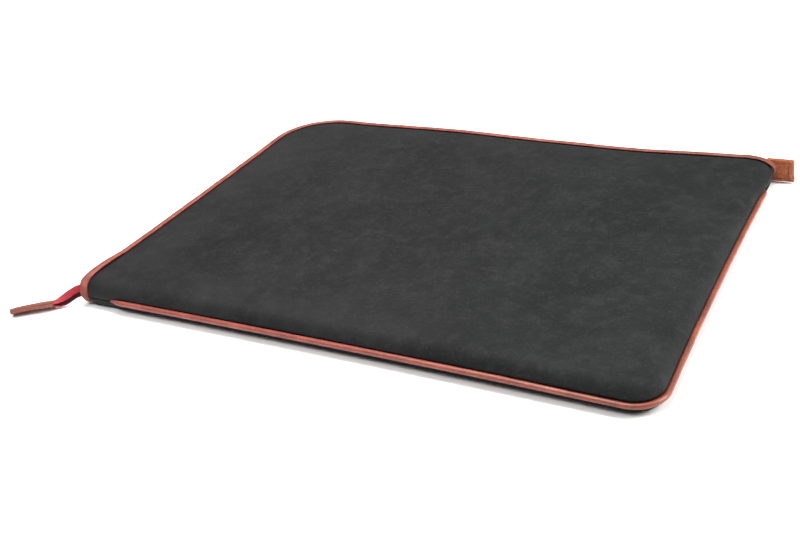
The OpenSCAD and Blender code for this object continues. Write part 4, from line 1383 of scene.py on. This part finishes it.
def tail_tab():
    """Two layers of leather sewn over the tail: cut edges all round, a little worn at the corners."""
    obs = []
    L, HW = 24.6, 3.75
    for k, sgn in (("upper", 1), ("lower", -1)):
        n_u, n_v = 34, 11
        M = np.zeros((n_u, n_v, 3))
        for i, u in enumerate(np.linspace(-0.8, L, n_u)):
            end = min(1.0, max(0.0, (L - u) / 2.4))
            hw = HW * (0.62 + 0.38 * (1 - (1 - end) ** 2) ** 0.5) * (1 - 0.06 * smooth(1 - (u + 0.8) / 3))
            mouth_ = 0.16 * smooth(1 - u / 7.0)
            for j, t in enumerate(np.linspace(-1, 1, n_v)):
                off = 0.74 + mouth_ * (1 - t * t) + 0.03 * noise.noise(Vector((u * 0.25, t * 1.2, sgn * 2.0)))
                sag_ = 0.25 * math.sin(u / L * math.pi)
                M[i, j] = tail_frame(u, t * hw, sgn * off + sag_)
        obs.append(strip("tail_tab_leather_" + k, M, 1.5, M_TAIL, edge=0.98, cut=M_EDGE, round_=0.10))
    return obs


tail_tabs = tail_tab()
c, d, n = [], [], []
for sgn in (1, -1):
    up_n = tail_frame(0, 0, 1) - tail_frame(0, 0, 0)
    for vv in (-2.8, 2.8):
        for u in np.arange(1.6, 21.8, 2.75):
            c.append(tail_frame(u, vv, sgn * 1.53 + 0.25 * math.sin(u / 24.6 * math.pi)))
            d.append(TD)
            n.append(up_n * sgn)
    for vv in (-1.3, 1.2):
        c.append(tail_frame(22.4, vv, sgn * 1.53))
        d.append(np.cross(TD, up_n))
        n.append(up_n * sgn)
tail_st = capsules("tail_tab_stitching_thread", c, d, n, 1.95, 0.27, M_THREAD)

# ------------------------------------------------------------- stamped stops
def crimp(name, at, fwd, side, size):
    """A small stamped stop: a rounded metal band pinched round the coil."""
    fwd, side = unit(fwd), unit(side)
    nrm = np.cross(fwd, side)
    L, Wd, H = size
    loops = []
    for u in np.linspace(-1, 1, 9):
        k = (1 - abs(u) ** 6 * 0.28) * (1 - 0.10 * math.cos(u * math.pi))
        ring = []
        for a in np.linspace(0, 2 * math.pi, 20, endpoint=False):
            c, q = math.cos(a), math.sin(a)
            y = np.sign(c) * abs(c) ** 0.5 * Wd / 2 * k
            z = np.sign(q) * abs(q) ** 0.5 * H / 2 * k
            ring.append(at + fwd * u * L / 2 + side * y + nrm * z)
        loops.append(ring)
    v, f = loft(np.array(loops))
    return v, f


parts = []
for zc in (6.62, 9.38):
    add(parts, *crimp("stop", np.array([HX - 17.75, HY - 2.15, zc]), np.array([1.0, 0, 0]), np.array([0, 0, 1.0]), (2.2, 2.0, 1.5)))
top_stops = joined("zip_top_stop_pair", parts, M_METAL)
k0 = 16
tfwd = path[8] - path[4]
v, f = crimp("stop", path[6] * 0.8 + FO[c_id[6]] * 0.2 + np.array([0, 0.1, -0.25]), tfwd, np.array([0.1, 0.2, 1.0]), (2.3, 1.5, 0.95))
bottom_stop = make("zip_bottom_stop_crimp", v, f, M_METAL)

top_pieces = [(top_leather, ("top_cover_front", "top_cover_flap"), "panel_leather"),
              (top_foam, ("top_padding_front", "top_padding_flap"), "foam"),
              (top_lining, ("top_lining_front", "top_lining_flap"), "lining_cloth"),
              (top_binding, ("zip_binding_upper", "zip_binding_upper_ends"), "trim_leather"),
              (st_top, ("binding_stitching_upper", "binding_stitching_ends"), "thread"),
              (st_lip, ("binding_stitching_ends",), "thread"),
              (top_tape, ("zip_tape_upper", "zip_tape_upper_ends"), "zip_tape"),
              (top_coil, ("zip_coil_upper", "zip_coil_upper_ends"), "zip_coil")]
for ob, cad, sl in top_pieces:
    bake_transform(ob)
    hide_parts(*cad)

for ob, cad, sl in [(bottom_leather, ("bottom_cover",), "panel_leather"), (bottom_foam, ("bottom_padding",), "foam"),
                    (bottom_lining, ("bottom_lining",), "lining_cloth"), (piping, ("seam_piping",), "trim_leather"), (seam_tape_ob, ("seam_binding_tape",), "lining_cloth"),
                    (cord, ("piping_cord",), "piping_cord"), (low_binding, ("zip_binding_lower",), "trim_leather"),
                    (st_low, ("binding_stitching_lower",), "thread"), (low_tape, ("zip_tape_lower",), "zip_tape"), (wall_ob, (), "zip_tape"),
                    (low_coil, ("zip_coil_lower",), "zip_coil"), (tab, ("zip_end_tab",), "tab_leather"),
                    (tab_st, ("end_tab_stitching",), "thread"), (top_stops, ("zip_top_stops",), "zip_metal")]:
    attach(ob, "base")
    if cad:
        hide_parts(*cad)
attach(slider, "slider")
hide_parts("slider_body", "slider_crown")
for ob, cad, sl in [(link, ("pull_link",), "zip_metal"), (tag, ("pull_tag",), "tab_leather"), (tag_st, ("pull_tag_stitching",), "thread")]:
    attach(ob, "puller")
    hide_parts(*cad)
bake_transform(tail_tape)
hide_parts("tail_tape")
for ob, cad, sl in [(tail_coil, ("tail_coil",), "zip_coil"), (bottom_stop, ("zip_bottom_stop",), "zip_metal"), (tail_tabs[0], ("tail_tab",), "tab_leather"),
                    (tail_tabs[1], ("tail_tab",), "tab_leather"), (tail_st, ("tail_tab_stitching",), "thread")]:
    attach(ob, "tail")
    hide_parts(*cad)

# ------------------------------------------------------------------- the studio
floor_me = bpy.data.meshes.new("studio_floor")
floor_me.from_pydata([(-6, -6, 0), (6, -6, 0), (6, 6, 0), (-6, 6, 0)], [], [(0, 1, 2, 3)])
floor = bpy.data.objects.new("studio_floor", floor_me)
COL.objects.link(floor)
kf = Mat("studio_white")
kf.set(color=(0.93, 0.93, 0.93), rough=0.9, spec=0.1)
# far from the sleeve the floor runs out into the white backdrop; only what is seen directly, never what lights the sleeve
fn, fl = kf.m.node_tree.nodes, kf.m.node_tree.links
f_out = [n for n in fn if n.type == "OUTPUT_MATERIAL"][0]
f_bsdf = [n for n in fn if n.type == "BSDF_PRINCIPLED"][0]
f_co, f_len, f_rng, f_path, f_mul, f_em, f_mix = (fn.new(t) for t in ("ShaderNodeTexCoord", "ShaderNodeVectorMath", "ShaderNodeMapRange", "ShaderNodeLightPath", "ShaderNodeMath", "ShaderNodeEmission", "ShaderNodeMixShader"))
f_len.operation = "LENGTH"
f_mul.operation = "MULTIPLY"
f_rng.interpolation_type = "SMOOTHSTEP"
for key, val in (("From Min", 0.42), ("From Max", 0.80), ("To Min", 0.0), ("To Max", 1.0)):
    f_rng.inputs[key].default_value = val
f_em.inputs[0].default_value = (1.0, 1.0, 1.0, 1)
fl.new(f_co.outputs["Object"], f_len.inputs[0])
fl.new(f_len.outputs["Value"], f_rng.inputs["Value"])
fl.new(f_rng.outputs["Result"], f_mul.inputs[0])
fl.new(f_path.outputs["Is Camera Ray"], f_mul.inputs[1])
fl.new(f_mul.outputs[0], f_mix.inputs[0])
fl.new(f_bsdf.outputs[0], f_mix.inputs[1])
fl.new(f_em.outputs[0], f_mix.inputs[2])
fl.new(f_mix.outputs[0], f_out.inputs["Surface"])
floor_me.materials.append(kf.m)

world = bpy.data.worlds.new("studio")
SC.world = world
world.use_nodes = True
bg = world.node_tree.nodes["Background"]
bg.inputs[0].default_value = (1.0, 1.0, 1.0, 1)
wn, wl = world.node_tree.nodes, world.node_tree.links
wc, wx, wr = wn.new("ShaderNodeTexCoord"), wn.new("ShaderNodeSeparateXYZ"), wn.new("ShaderNodeMapRange")
wl.new(wc.outputs["Generated"], wx.inputs[0])
wl.new(wx.outputs[2], wr.inputs["Value"])
for key, val in (("From Min", 0.07), ("From Max", 0.22), ("To Min", 0.80), ("To Max", 0.06)):
    wr.inputs[key].default_value = val
wp, wm = wn.new("ShaderNodeLightPath"), wn.new("ShaderNodeMath")
wm.operation = "MAXIMUM"
wl.new(wr.outputs["Result"], wm.inputs[0])
wl.new(wp.outputs["Is Camera Ray"], wm.inputs[1])
wl.new(wm.outputs[0], bg.inputs[1])


def area(name, loc, target, size, energy, color=(1, 1, 1)):
    l = bpy.data.lights.new(name, "AREA")
    l.shape = "RECTANGLE"
    l.size, l.size_y = size
    l.energy = energy
    l.color = color
    o = bpy.data.objects.new(name, l)
    COL.objects.link(o)
    o.location = loc
    o.rotation_mode = "QUATERNION"
    o.rotation_quaternion = (Vector(target) - Vector(loc)).to_track_quat("-Z", "Y")
    return o


area("softbox_right", (1.45, 0.45, 1.15), (0, 0, 0), (1.1, 1.1), 52.0, (1.0, 0.985, 0.96))
area("softbox_top", (-0.20, 0.36, 1.42), (0, 0, 0), (0.85, 0.62), 32.0)
area("softbox_front", (-0.25, -0.66, 1.20), (0, 0, 0), (0.9, 0.45), 12.0)

SC.view_settings.view_transform = "Standard"
SC.view_settings.look = "None"
SC.view_settings.exposure = 0.0


def camera():
    f, az, el, ro, dist, cx, cy = 1079.532, 31.741, 29.373, -8.068, 632.921, -8.061, -33.41
    a, e, r = (math.radians(x) for x in (az, el, ro))
    back = np.array([math.sin(a) * math.cos(e), -math.cos(a) * math.cos(e), math.sin(e)])
    fwd = -back
    rt = unit(np.cross(fwd, [0, 0, 1.0]))
    up = np.cross(rt, fwd)
    rt2 = rt * math.cos(r) + up * math.sin(r)
    up2 = -rt * math.sin(r) + up * math.cos(r)
    c = (np.array([cx, cy, 0]) + back * dist) * MM
    cam = bpy.data.cameras.new("camera")
    cam.sensor_width = 36
    cam.lens = f * 36 / 800
    cam.clip_start = 0.01
    cam.clip_end = 50
    o = bpy.data.objects.new("camera", cam)
    COL.objects.link(o)
    o.matrix_world = Matrix(((rt2[0], up2[0], back[0], c[0]), (rt2[1], up2[1], back[1], c[1]), (rt2[2], up2[2], back[2], c[2]), (0, 0, 0, 1)))
    SC.camera = o


camera()
bpy.context.view_layer.update()
